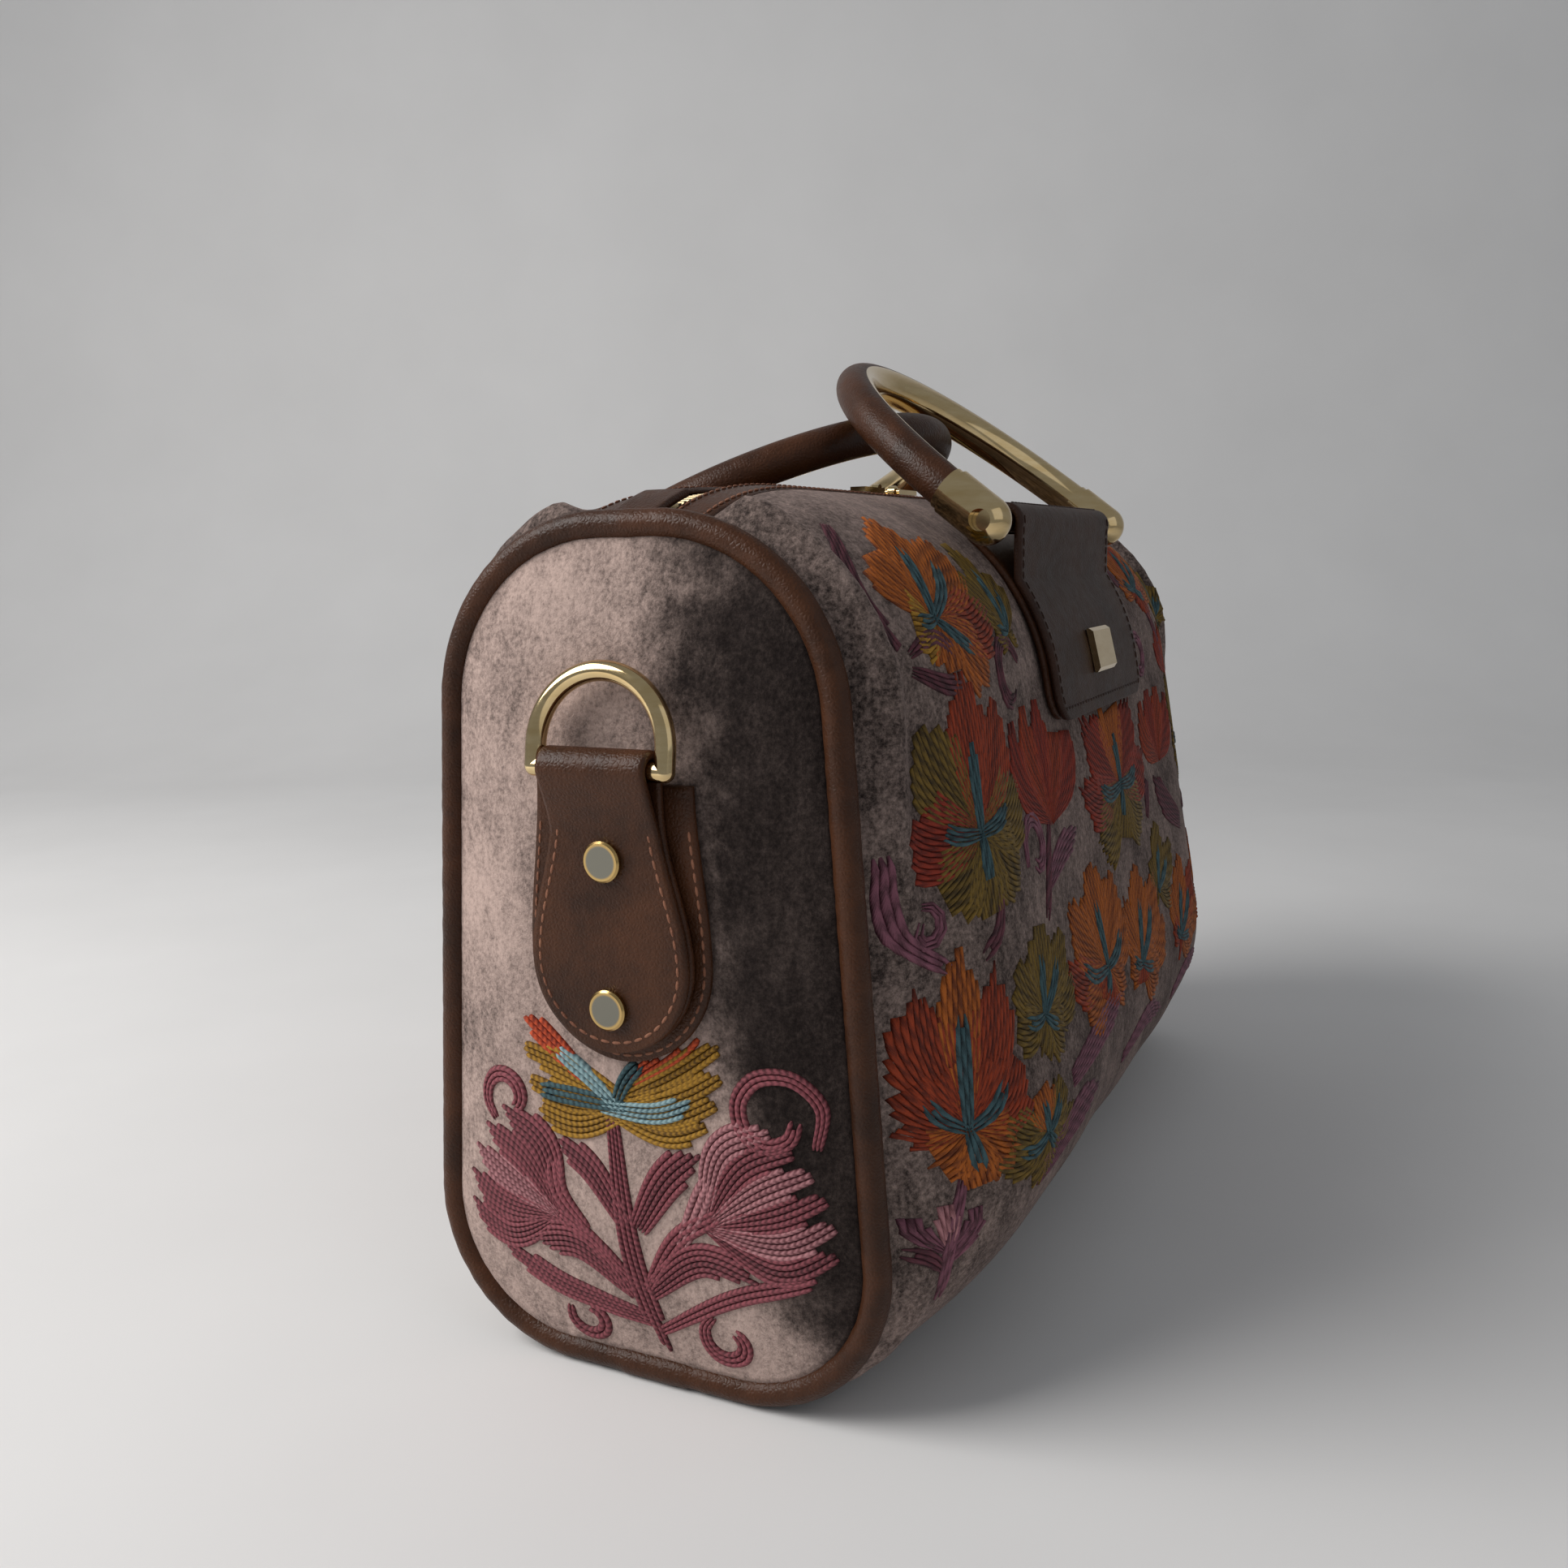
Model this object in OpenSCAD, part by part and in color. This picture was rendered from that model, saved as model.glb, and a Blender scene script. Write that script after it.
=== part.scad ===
// Embroidered velvet travel handbag with two arched handles, a double zip and a ring at each end.
// Millimetres. X runs along the bag, the front faces -Y, Z is up and the bag stands on Z = 0.

/* [End outline] */
// Length between the two piping planes
body_l = 326; // [280:1:380]
// Height of the piping's centre line at the top of an end
end_h = 218; // [200:1:240]
// Half width of an end near the bottom
end_low_half = 62; // [56:0.5:70]
// Corner radius of an end at the bottom
end_low_r = 37.5; // [30:0.5:40]
// Half width of an end near the top
end_high_half = 53.4; // [50:0.2:58]
// Corner radius of an end at the top
end_high_r = 45.6; // [40:0.2:48]
// How far the middle of an end panel domes out
end_dome = 8; // [4:0.5:12]
// Diameter of the leather piping
piping_d = 7; // [5:0.5:9]

/* [Stuffed middle] */
// Half width of the belly
belly_half = 87.5; // [80:0.5:95]
// Radius of the belly where it turns under
belly_r = 60; // [50:1:64]
// Half width of the shoulder below the zip
shoulder_half = 70; // [66:0.5:76]
// Radius of the shoulder
shoulder_r = 66; // [60:1:66]
// Height of the crown that carries the zip
crown_h = 229; // [222:0.5:240]
// Half length over which the crown runs straight
crown_flat = 92; // [80:1:100]

/* [Skins] */
// Thickness of the velvet panels with their stiffener
velvet_t = 2.2; // [1.6:0.1:3]
// Thickness of the lining
lining_t = 1; // [0.6:0.1:1.5]
// Thickness of the base leather
base_t = 2.2; // [1.6:0.1:3]
// Half width of the flat of the base
base_flat = 25; // [20:0.5:28]
// Radius of the base where it turns up to its seam
base_r = 45; // [40:1:55]
// Angle through which the base turns up
base_turn = 25; // [20:1:30]
// Thickness of the stiff board on the base
board_t = 2; // [1.5:0.1:3]

/* [Zip] */
// Half width of the open strip between the zip facings
zip_half = 6.5; // [5.5:0.1:8]
// Distance of a facing's outer edge from the middle
facing_half = 19; // [16:0.5:24]
// Thickness of a leather facing
facing_t = 1.8; // [1.2:0.1:2.4]
// Thickness of the woven zip tape
tape_t = 0.8; // [0.6:0.1:1.2]
// Distance between neighbouring zip teeth
tooth_pitch = 2.6; // [2.2:0.1:4]
// Half width of the row of teeth
tooth_half = 2.4; // [2:0.1:2.8]
// Length of a zip slider
slider_l = 11; // [9:0.5:13]
// Distance between the two sliders at the middle
slider_gap = 1.6; // [1:0.1:4]
// Length of a slider's pull
pull_l = 16; // [12:0.5:17]
// Width of a slider's pull
pull_w = 5.2; // [4.4:0.2:5.4]
// Thickness of a slider's pull
pull_t = 1.6; // [1.2:0.1:1.8]
// Width of the leather stop over a zip end
stop_w = 13; // [10:0.5:16]
// Length of the leather stop over a zip end
stop_l = 16; // [12:0.5:20]

/* [Handles] */
// Half distance between the two feet of a handle
foot_half = 69; // [66:0.5:74]
// Straight length of a handle's legs above its bar
leg_l = 8; // [6:0.5:12]
// Diameter of a handle's tube
tube_d = 12; // [10:0.2:13]
// Diameter of a handle's bar
bar_d = 6; // [5:0.2:7]
// Diameter of the metal ferrule on a handle's foot
ferrule_d = 14; // [13:0.2:15.5]
// Height of a ferrule above the bar
ferrule_l = 15; // [13:0.5:20]
// Distance of a handle's bar from the velvet
bar_off = 11.4; // [10.8:0.1:13]
// Lean of the front handle towards the middle
front_lean = 52; // [50:0.5:52.5]
// Lean of the back handle towards the middle
back_lean = 66.5; // [66:0.5:67.5]
// Width of the leather tab that carries a handle
tab_w = 107; // [96:1:112]
// Distance of a tab's lower edge below the middle of the shoulder's curve
tab_drop = 2; // [-6:0.5:12]
// Thickness of one layer of leather in the tabs
leather_t = 2.2; // [1.6:0.1:2.6]
// Corner radius at a tab's lower edge
tab_r = 10; // [6:0.5:14]
// Width of the plain metal plate on the front tab
plate_w = 22; // [16:0.5:26]
// Height of the plain metal plate
plate_h = 14; // [10:0.5:16]
// Thickness of the plain metal plate
plate_t = 2; // [1.5:0.1:3]
// Angle of the plate round the shoulder's curve, above the straight of the side
plate_turn = 3.3; // [2:0.1:10]

/* [Rings] */
// Diameter of a ring's wire
wire_d = 5; // [4:0.1:5.6]
// Inner width of a ring
ring_w = 30.5; // [28:0.5:34]
// Straight length of a ring's sides
ring_side = 5; // [4:0.5:8]
// Height of a ring's hinge axis
ring_z = 162; // [156:0.5:164]
// Lean of a ring towards the end panel
ring_lean = 8; // [4:0.5:10]
// Half width of a ring strap at its widest
strap_half = 21.8; // [20:0.2:24]
// Height of the middle of a ring strap's round lower end
strap_z = 115; // [108:0.5:118]
// Margin of the backing patch round a strap
patch_margin = 3.6; // [2:0.2:5]
// Diameter of a rivet's cap
rivet_d = 10; // [8:0.2:12]
// Height of a rivet's cap
rivet_t = 1.6; // [1:0.1:2.4]
// Height of the upper rivet
rivet_high = 140; // [130:1:144]
// Height of the lower rivet
rivet_low = 104; // [96:1:114]

/* [Embroidery] */
// Height of the raised wool
wool_h = 1; // [0.6:0.1:1.4]

/* [Hidden] */
$fn = 64;

velvet = "#8d7d77";
leather = "#5a3a26";
black = "#22201f";
gold = "#d9bf92";
cloth = "#b9aa98";
rust_wool = "#a8441c";
orange_wool = "#c8701f";
mustard_wool = "#a5822a";
plum_wool = "#6b3840";
rose_wool = "#9a5558";
teal_wool = "#4a6c72";

// Gap between neighbouring pieces, and between pieces that turn in each other
gap = 0.2;
turn_gap = 0.3;
end_x = body_l / 2;
piping_r = piping_d / 2;
skin_end = end_x - piping_r - gap;
skin_proud = 1;
piping_low = piping_r + gap;
seam = [base_flat + base_r * sin(base_turn), base_r * (1 - cos(base_turn))];
shoulder_steps = 7;
low_steps = 7;
side_steps = 4;
high_steps = 9;

function mix(a, b, t) = a + (b - a) * t;
function polar(a) = [cos(a), sin(a)];
// Angle at which one line touches two circles on their outer side
function touch_angle(c1, r1, c2, r2) =
  atan2(c2.y - c1.y, c2.x - c1.x) - acos((r1 - r2) / norm(c2 - c1));

// Fullness along the bag: 1 over the straight middle, falling as a cube to 0 at the piping
function full(x) = 1 - pow(max(0, (abs(x) - crown_flat) / (skin_end - crown_flat)), 3);
function low_r(x) = mix(end_low_r + skin_proud, belly_r, full(x));
function high_r(x) = mix(end_high_r + skin_proud, shoulder_r, full(x));
function crown(x) = mix(end_h + skin_proud, crown_h, full(x));
function low_centre(x) = let (y = mix(end_low_half + skin_proud, belly_half, full(x)) - low_r(x))
  [y, seam.y + sqrt(pow(low_r(x), 2) - pow(seam.x - y, 2))];
function high_centre(x) =
  [mix(end_high_half + skin_proud, shoulder_half, full(x)) - high_r(x), crown(x) - high_r(x)];
function side_angle(x) = touch_angle(low_centre(x), low_r(x), high_centre(x), high_r(x));
// Half section of the skin at x from the base seam up to the distance y_top, set in by d
function skin_line(x, d, y_top) =
  let (lc = low_centre(x), hc = high_centre(x), lr = low_r(x), hr = high_r(x), a = side_angle(x),
    from = atan2(seam.y - lc.y, seam.x - lc.x), to = acos((y_top - hc.x) / (hr - d)),
    belly_top = lc + (lr - d) * polar(a), shoulder_low = hc + (hr - d) * polar(a))
  concat(
    [for (i = [0:low_steps]) lc + (lr - d) * polar(mix(from, a, i / low_steps))],
    [for (i = [1:side_steps]) mix(belly_top, shoulder_low, i / side_steps)],
    [for (i = [1:high_steps]) hc + (hr - d) * polar(mix(a, to, i / high_steps))]);
// Height of the crown's skin at x and at the distance y from the middle
function crown_at(x, y) = let (hc = high_centre(x), hr = high_r(x), dy = max(0, abs(y) - hc.x))
  hc.y + sqrt(hr * hr - dy * dy);
// Stations along the bag, close together where the shoulder falls. A shorter piece shares those it reaches.
function stations(x_end) =
  let (all = [for (i = [0:shoulder_steps]) mix(crown_flat, skin_end, sin(90 * i / shoulder_steps))],
    half = concat([for (x = all) if (x < x_end - gap) x], [x_end]))
  concat(-reversed(half), half);

function reversed(v) = [for (i = [len(v) - 1:-1:0]) v[i]];
// Solid through a list of closed rings with the same number of points. The second half of each ring mirrors
// the first, so its quads are split along the mirrored diagonal. The ends of a thin skin, whose rings run out
// along one face and back along the other, are closed as strips between the two faces.
module loft(rings, skin = false) {
  n = len(rings[0]);
  m = len(rings);
  cap = skin ? [for (i = [0:n / 2 - 2]) [i, i + 1, n - 2 - i, n - 1 - i]] : [[for (i = [0:n - 1]) i]];
  polyhedron(
    points = [for (r = rings) each r],
    faces = concat(
      cap,
      [for (k = [0:m - 2]) for (i = [0:n - 1])
        let (a = k * n + i, b = k * n + (i + 1) % n, c = a + n, d = b + n)
        each i < n / 2 ? [[a, c, b], [b, c, d]] : [[a, c, d], [a, d, b]]],
      [for (face = cap) [for (i = reversed(face)) (m - 1) * n + i]]),
    convexity = 8);
}
function flipped(v) = [for (p = v) [-p.x, p.y]];
function at_x(x, line) = [for (p = line) [x, p.x, p.y]];
module both_ways(flip, axis) {
  if (flip) mirror(axis) children();
  else children();
}
module along_x(length) {
  rotate([90, 0, 90]) linear_extrude(length, center = true) children();
}

// Velvet side, from the base seam over the belly and shoulder to the zip facing, or a skin out from it
module side_skin(out = 0) {
  y_top = facing_half + gap;
  loft([for (x = stations(skin_end))
    at_x(x, concat(skin_line(x, -out, y_top), reversed(skin_line(x, velvet_t, y_top))))],
    skin = true);
}
module front_panel() { color(velvet) mirror([0, 1, 0]) side_skin(); }
module back_panel() { color(velvet) side_skin(); }

// Base leather: a flat strip that turns up at both edges to the seams
base_steps = 5;
seam_gap = 0.6;
function base_edge(d) = [for (i = [0:base_steps])
  [base_flat, base_r] + (base_r - d) * polar(-90 + (base_turn - seam_gap) * i / base_steps)];
module base_panel() {
  under = base_edge(0);
  over = base_edge(base_t);
  color(leather) along_x(2 * skin_end)
    polygon(concat(flipped(reversed(under)), under, reversed(over), flipped(over)));
}
module base_board() {
  color(cloth) translate([-skin_end + 2 * base_t, -base_flat, base_t + gap])
    cube([2 * (skin_end - 2 * base_t), 2 * base_flat, board_t]);
}

// Lining: a closed sack inside the skins, open along the zip
lining_out = velvet_t + gap;
lining_low = base_t + board_t + 2 * gap;
lining_end = skin_end - 2 * velvet_t;
mouth_half = facing_half - 4;
mouth_drop = 8;
mouth_low = min(end_h, crown_h) - mouth_drop;
module lining_sack(d, low, x_end, y_top) {
  loft([for (x = stations(x_end)) let (
      half = [for (p = skin_line(x, d, facing_half + gap)) [p.x, max(p.y, low)]],
      line = concat(half, [[y_top, crown_at(x, y_top) - d]]))
    at_x(x, concat(line, flipped(reversed(line))))]);
}
module lining() {
  color(cloth) difference() {
    lining_sack(lining_out, lining_low, lining_end, facing_half - 2);
    lining_sack(lining_out + lining_t, lining_low + lining_t, lining_end - lining_t, facing_half - 3);
    translate([-skin_end, -mouth_half, mouth_low]) cube([2 * skin_end, 2 * mouth_half, crown_h]);
  }
}

// End outline: circle centres of the piping's centre line and the angle of its sides
low_c = [end_low_half - end_low_r, piping_low + end_low_r];
high_c = [end_high_half - end_high_r, end_h - end_high_r];
end_angle = touch_angle(low_c, end_low_r, high_c, end_high_r);
end_steps = 10;
function end_half_line(d) = concat(
  [for (i = [0:end_steps]) low_c + (end_low_r - d) * polar(mix(-90, end_angle, i / end_steps))],
  [for (i = [0:end_steps]) high_c + (end_high_r - d) * polar(mix(end_angle, 90, i / end_steps))]);
function end_line(d) = let (h = end_half_line(d)) concat(h, flipped(reversed(h)));

// Domed velvet end: a flat middle that falls away to the piping
end_rim = 0.5;
end_flat = 0.5;
end_mid = [0, 120];
end_rings = 4;
end_face = end_x + end_rim + end_dome;
function dome_drop(r) = pow(max(0, r - end_flat) / (1 - end_flat), 2);
function end_ring(x_in, r) = [for (p = end_line(piping_r + gap)) let (q = mix(end_mid, p, r))
  [end_face - x_in - end_dome * dome_drop(r), q.x, q.y]];
module end_skin() {
  radii = [for (i = [0:end_rings]) mix(end_flat, 1, i / end_rings)];
  loft(concat([for (r = radii) end_ring(velvet_t, r)], [for (r = reversed(radii)) end_ring(0, r)]));
}
module left_end_panel() { color(velvet) mirror([1, 0, 0]) end_skin(); }
module right_end_panel() { color(velvet) end_skin(); }

// Piping: one round cord bent along the end outline, each bend let into the straight runs beside it
bend_over = 1;
bend_inset = 0.02;
module bend(c, r, a1, a2) {
  translate([0, c.x, c.y]) rotate([90, 0, 90]) rotate([0, 0, a1 - bend_over])
    rotate_extrude(angle = a2 - a1 + 2 * bend_over) translate([r, 0]) circle(piping_r - bend_inset);
}
module run(p, q) {
  v = q - p;
  translate([0, p.x, p.y]) rotate([atan2(-v.x, v.y), 0, 0]) cylinder(r = piping_r, h = norm(v));
}
module piping_loop() {
  translate([end_x, 0, 0]) {
    for (s = [0, 1]) mirror([0, s, 0]) {
      bend(low_c, end_low_r, -90, end_angle);
      bend(high_c, end_high_r, end_angle, 90);
      run(low_c + end_low_r * polar(end_angle), high_c + end_high_r * polar(end_angle));
    }
    run([-low_c.x, piping_low], [low_c.x, piping_low]);
    run([-high_c.x, end_h], [high_c.x, end_h]);
  }
}
module left_piping() { color(leather) mirror([1, 0, 0]) piping_loop(); }
module right_piping() { color(leather) piping_loop(); }

// Embroidery: raised wool in a traditional pattern of plane leaves, tulips and scrolls. Places are across
// and up on an end, and along the bag and up the skin from the base seam on a side.
// A leaf is its middle, its half sizes, the number of its lobes and its turn
side_rust_leaves = [[[92, 94], [25, 17], 5, 10], [[16, 158], [50, 24], 7, 90]];
side_orange_leaves = [[[-108, 220], [31, 27], 6, 10], [[-137, 101], [20, 31], 7, 90],
  [[-39, 108], [35, 25], 7, 90], [[24, 97], [27, 17], 5, 20], [[97, 216], [25, 17], 5, 0],
  [[137, 97], [19, 27], 5, 90]];
side_mustard_leaves = [[[-120, 168], [30, 32], 7, 90], [[-94, 107], [27, 22], 5, 10],
  [[-110, 78], [27, 11], 3, 0], [[62, 118], [18, 13], 3, 30], [[134, 163], [20, 29], 5, 90]];
end_mustard_leaves = [[[3, 81], [31, 14], 6, 0]];
// A tulip is its base, its width and length, and its turn against the clock from upright
side_rust_tulips = [[[-56, 149], [50, 42], 5], [[86, 149], [44, 31], 0]];
end_rose_tulips = [[[23, 43], [30, 33], -70], [[-25, 46], [28, 32], 60]];
tulip_mid = [0, 0.6];
tulip_side = [[0.38, 0.3], [0.5, 0.92], [0.24, 0.78]];
tulip_outline = concat([[0, 0]], tulip_side, [[0, 1]], flipped(reversed(tulip_side)));
// A stroke is its width and the points of its line
end_orange_strokes = [[6, [[8, 87], [19, 92], [31, 102]]], [6, [[0, 87], [-13, 92], [-26, 103]]]];
end_teal_strokes = [[4, [[5, 78], [15, 79], [24, 80]]], [4, [[3, 76], [-8, 79], [-20, 84]]]];
end_rose_strokes = [
  [6, [[4, 72], [0, 47], [-1, 23], [-6, 12]]], [10, [[0, 46], [10, 55], [23, 66]]],
  [9, [[-2, 46], [-9, 57], [-21, 70]]], [6, [[24, 44], [10, 38], [0, 22]]],
  [10, [[1, 26], [16, 35], [33, 35]]], [7, [[1, 19], [24, 23], [45, 32]]],
  [9, [[-3, 28], [-17, 39], [-36, 38]]], [6, [[-3, 20], [-14, 29], [-27, 27], [-48, 40]]],
  [4, [[22, 22], [23, 14], [16, 10], [11, 14], [14, 18]]],
  [4, [[-20, 26], [-17, 16], [-24, 11], [-30, 16], [-25, 20]]],
  [4, [[38, 66], [43, 73], [38, 82], [31, 76], [35, 71]]],
  [4, [[-34, 73], [-27, 80], [-37, 89], [-49, 83], [-43, 76]]]];
side_plum_strokes = [
  [7, [[-134, 247], [-143, 231], [-144, 216], [-140, 203]]], [6, [[-140, 202], [-131, 199], [-122, 194]]],
  [9, [[-70, 192], [-68, 201], [-86, 199], [-104, 188]]], [8, [[-58, 150], [-71, 146], [-82, 133]]],
  [9, [[-72, 136], [-52, 140], [-38, 134]]], [12, [[104, 122], [84, 132], [70, 144]]],
  [4, [[-156, 160], [-153, 142], [-139, 134]]], [4, [[-114, 136], [-117, 133], [-126, 131]]],
  [8, [[-82, 130], [-74, 137], [-60, 141]]], [10, [[-72, 81], [-46, 80], [-14, 80]]],
  [12, [[-98, 65], [-76, 68], [-50, 70]]], [4, [[-142, 69], [-147, 58], [-146, 41]]],
  [5, [[-147, 52], [-152, 58], [-154, 66]]], [6, [[-146, 53], [-142, 58], [-137, 62]]],
  [6, [[116, 126], [128, 128], [146, 130]]], [6, [[40, 126], [20, 128], [-10, 126]]]];

wool_low = 0.5;
wool_cut = 0.7;
wool_gap = 0.1;
cut_spread = 1.4;
valley = 0.74;
lobe_flat = 0.25;
pad_mid = 0.55;
pad_edge = 0.6;
slim = 6.5;
slim_share = 0.8;
stroke_step = 18;
function turned(p, a) = [p.x * cos(a) - p.y * sin(a), p.x * sin(a) + p.y * cos(a)];
// Middle and rim of each pad. A leaf's rim runs along its lobes and in to the valleys between them.
function leaf_rim(size, lobes, turn) = [for (i = [0:lobes - 1]) for (k = [-lobe_flat, lobe_flat, 0.5])
  let (v = (k == 0.5 ? valley : 1) * polar(turn + 360 * (i + k) / lobes)) [size.x * v.x, size.y * v.y]];
function leaf_pads(leaves) = [for (l = leaves) [l[0], [for (v = leaf_rim(l[1], l[2], l[3])) l[0] + v]]];
function tulip_pads(tulips) = [for (t = tulips) [for (line = [[tulip_mid], tulip_outline])
  [for (q = line) t[0] + turned([q.x * t[1].x, q.y * t[1].y], t[2])]]];
function unit(v) = v / norm(v);
// Share of a stroke's width at the share t of its length: narrow strokes are even, petals swell and close
function stroke_share(w, t) = w > slim ? 0.45 + 0.55 * sin(22 + 140 * t) : slim_share;
// Smooth curve through the points p at the share t of its length, and the direction across it
function curve_at(p, t) = let (n = len(p) - 1, k = min(floor(t * n), n - 1), u = t * n - k,
    a = p[max(k - 1, 0)], b = p[k], c = p[k + 1], d = p[min(k + 2, n)])
  b + 0.5 * u * (c - a + u * (2 * a - 5 * b + 4 * c - d + u * (3 * (b - c) + d - a)));
function across(p, t) =
  let (v = unit(curve_at(p, min(t + 0.02, 1)) - curve_at(p, max(t - 0.02, 0)))) [v.y, -v.x];

// Point of the velvet side at x and at s along the middle section from the base seam, moved out by h
function to_rad(a) = a * PI / 180;
function side_parts(x) = let (lc = low_centre(x), hc = high_centre(x), lr = low_r(x), hr = high_r(x),
    a = side_angle(x), from = atan2(seam.y - lc.y, seam.x - lc.x), to = acos((facing_half + gap - hc.x) / hr))
  [from, a, lr * to_rad(a - from), norm(hc - lc + (hr - lr) * polar(a)), hr * to_rad(to - a)];
side_len = let (m = side_parts(0)) m[2] + m[3] + m[4];
function side_at(x, s, h) = let (m = side_parts(x), lc = low_centre(x), hc = high_centre(x),
    lr = low_r(x), hr = high_r(x), l = s / side_len * (m[2] + m[3] + m[4]), over = l - m[2] - m[3],
    p = l < m[2] ? lc + (lr + h) * polar(mix(m[0], m[1], l / m[2]))
      : over < 0 ? mix(lc + (lr + h) * polar(m[1]), hc + (hr + h) * polar(m[1]), (l - m[2]) / m[3])
      : hc + (hr + h) * polar(m[1] + over / to_rad(hr)))
  [x, p.x, p.y];

// Point of the domed end at p = [y, z], moved out by h. Its share of the way to the rim is the largest over
// all edges of the rim.
end_edges = let (line = end_line(piping_r + gap), n = len(line)) [for (i = [0:n - 1])
  let (p = line[i], q = line[(i + 1) % n]) if (norm(q - p) > gap)
    let (v = unit(q - p), out = [v.y, -v.x]) out / (out * (p - end_mid))];
function end_share(p) = max([for (e = end_edges) e * (p - end_mid)]);
function end_at(p, h) = [end_face - end_dome * dome_drop(end_share(p)) + h, p.x, p.y];
function wool_at(p, h, side) = side ? side_at(p.x, p.y, h) : end_at(p, h);

// One pad, high in the middle. Grown pads cut the place for it out of other colours.
module wool_pad(c, line, side, grow) {
  n = len(line);
  rim = [for (p = side ? line : reversed(line)) p + grow * unit(p - c)];
  mid = [for (p = rim) mix(c, p, pad_mid)];
  low = grow > 0 ? wool_low - wool_cut : wool_low;
  top = wool_low + wool_h + grow;
  points = concat([for (p = rim) wool_at(p, low, side)], [for (p = mid) wool_at(p, low, side)],
    [for (p = rim) wool_at(p, mix(wool_low, top, pad_edge), side)], [for (p = mid) wool_at(p, top, side)],
    [wool_at(c, low, side), wool_at(c, top, side)]);
  faces = [for (i = [0:n - 1]) let (j = (i + 1) % n) each [
    [i, n + i, n + j], [i, n + j, j], [n + i, 4 * n, n + j],
    [2 * n + i, 2 * n + j, 3 * n + j], [2 * n + i, 3 * n + j, 3 * n + i], [3 * n + i, 3 * n + j, 4 * n + 1],
    [i, j, 2 * n + j], [i, 2 * n + j, 2 * n + i]]];
  polyhedron(points, faces, convexity = 6);
}
// One ridge along a stroke
module wool_stroke(stroke, side, grow) {
  w = stroke[0];
  p = stroke[1];
  n = max(ceil(norm(p[len(p) - 1] - p[0]) / stroke_step), 2 * len(p) - 4);
  base = wool_low + pow(w, 2) / (8 * belly_r);
  low = grow > 0 ? base - wool_cut : base;
  spread = grow > 0 ? cut_spread : 1;
  rings = [for (k = [0:n]) let (c = curve_at(p, k / n),
      v = across(p, k / n) * spread * (w / 2 * stroke_share(w, k / n) + grow))
    [wool_at(c - v, low, side), wool_at(c + v, low, side), wool_at(c, base + wool_h + 2 * grow, side)]];
  loft(side ? rings : reversed(rings));
}
module wool(leaves, tulips, strokes, side, grow = 0) {
  for (pad = leaf_pads(leaves)) wool_pad(pad[0], pad[1], side, grow);
  for (pad = tulip_pads(tulips)) wool_pad(pad[0][0], pad[1], side, grow);
  for (stroke = strokes) wool_stroke(stroke, side, grow);
}
// Places that the wool keeps clear of: the velvet, the handle tab, the ring's patch
module side_clear() {
  side_skin(wool_gap);
  translate([-tab_w / 2 - gap, 0, tab_low - gap]) cube([tab_w + 2 * gap, 2 * belly_half, crown_h]);
}
module patch_clear() {
  wide = strap_half + patch_margin + gap;
  tongue_slab(tongue(patch_top, patch_top_half + gap, strap_z, wide), 0, 3 * wool_h);
}
module rust_wool_side(grow = 0) { wool(side_rust_leaves, side_rust_tulips, [], true, grow); }
module orange_wool_side(grow = 0) { wool(side_orange_leaves, [], [], true, grow); }
module mustard_wool_side(grow = 0) { wool(side_mustard_leaves, [], [], true, grow); }
module side_rust() {
  difference() {
    rust_wool_side();
    side_clear();
  }
}
module side_orange() {
  difference() {
    orange_wool_side();
    side_clear();
    rust_wool_side(gap);
  }
}
module side_mustard() {
  difference() {
    mustard_wool_side();
    side_clear();
    rust_wool_side(gap);
    orange_wool_side(gap);
  }
}
module side_plum() {
  difference() {
    wool([], [], side_plum_strokes, true);
    side_clear();
    rust_wool_side(gap);
    orange_wool_side(gap);
    mustard_wool_side(gap);
  }
}
module end_teal() { wool([], [], end_teal_strokes, false); }
module end_orange() {
  difference() {
    wool([], [], end_orange_strokes, false);
    patch_clear();
  }
}
module end_mustard() {
  difference() {
    wool(end_mustard_leaves, [], [], false);
    patch_clear();
    wool([], [], concat(end_teal_strokes, end_orange_strokes), false, gap);
  }
}
module end_rose() {
  difference() {
    wool([], end_rose_tulips, end_rose_strokes, false);
    translate([wool_gap, 0, 0]) end_skin();
    wool(end_mustard_leaves, [], [], false, gap);
  }
}
module front_embroidery_rust() { color(rust_wool) mirror([0, 1, 0]) side_rust(); }
module front_embroidery_orange() { color(orange_wool) mirror([0, 1, 0]) side_orange(); }
module front_embroidery_mustard() { color(mustard_wool) mirror([0, 1, 0]) side_mustard(); }
module front_embroidery_plum() { color(plum_wool) mirror([0, 1, 0]) side_plum(); }
module back_embroidery_rust() { color(rust_wool) mirror([1, 0, 0]) side_rust(); }
module back_embroidery_orange() { color(orange_wool) mirror([1, 0, 0]) side_orange(); }
module back_embroidery_mustard() { color(mustard_wool) mirror([1, 0, 0]) side_mustard(); }
module back_embroidery_plum() { color(plum_wool) mirror([1, 0, 0]) side_plum(); }
module left_embroidery_teal() { color(teal_wool) mirror([1, 0, 0]) end_teal(); }
module left_embroidery_orange() { color(orange_wool) mirror([1, 0, 0]) end_orange(); }
module left_embroidery_mustard() { color(mustard_wool) mirror([1, 0, 0]) end_mustard(); }
module left_embroidery_rose() { color(rose_wool) mirror([1, 0, 0]) end_rose(); }
module right_embroidery_teal() { color(teal_wool) mirror([0, 1, 0]) end_teal(); }
module right_embroidery_orange() { color(orange_wool) mirror([0, 1, 0]) end_orange(); }
module right_embroidery_mustard() { color(mustard_wool) mirror([0, 1, 0]) end_mustard(); }
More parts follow.
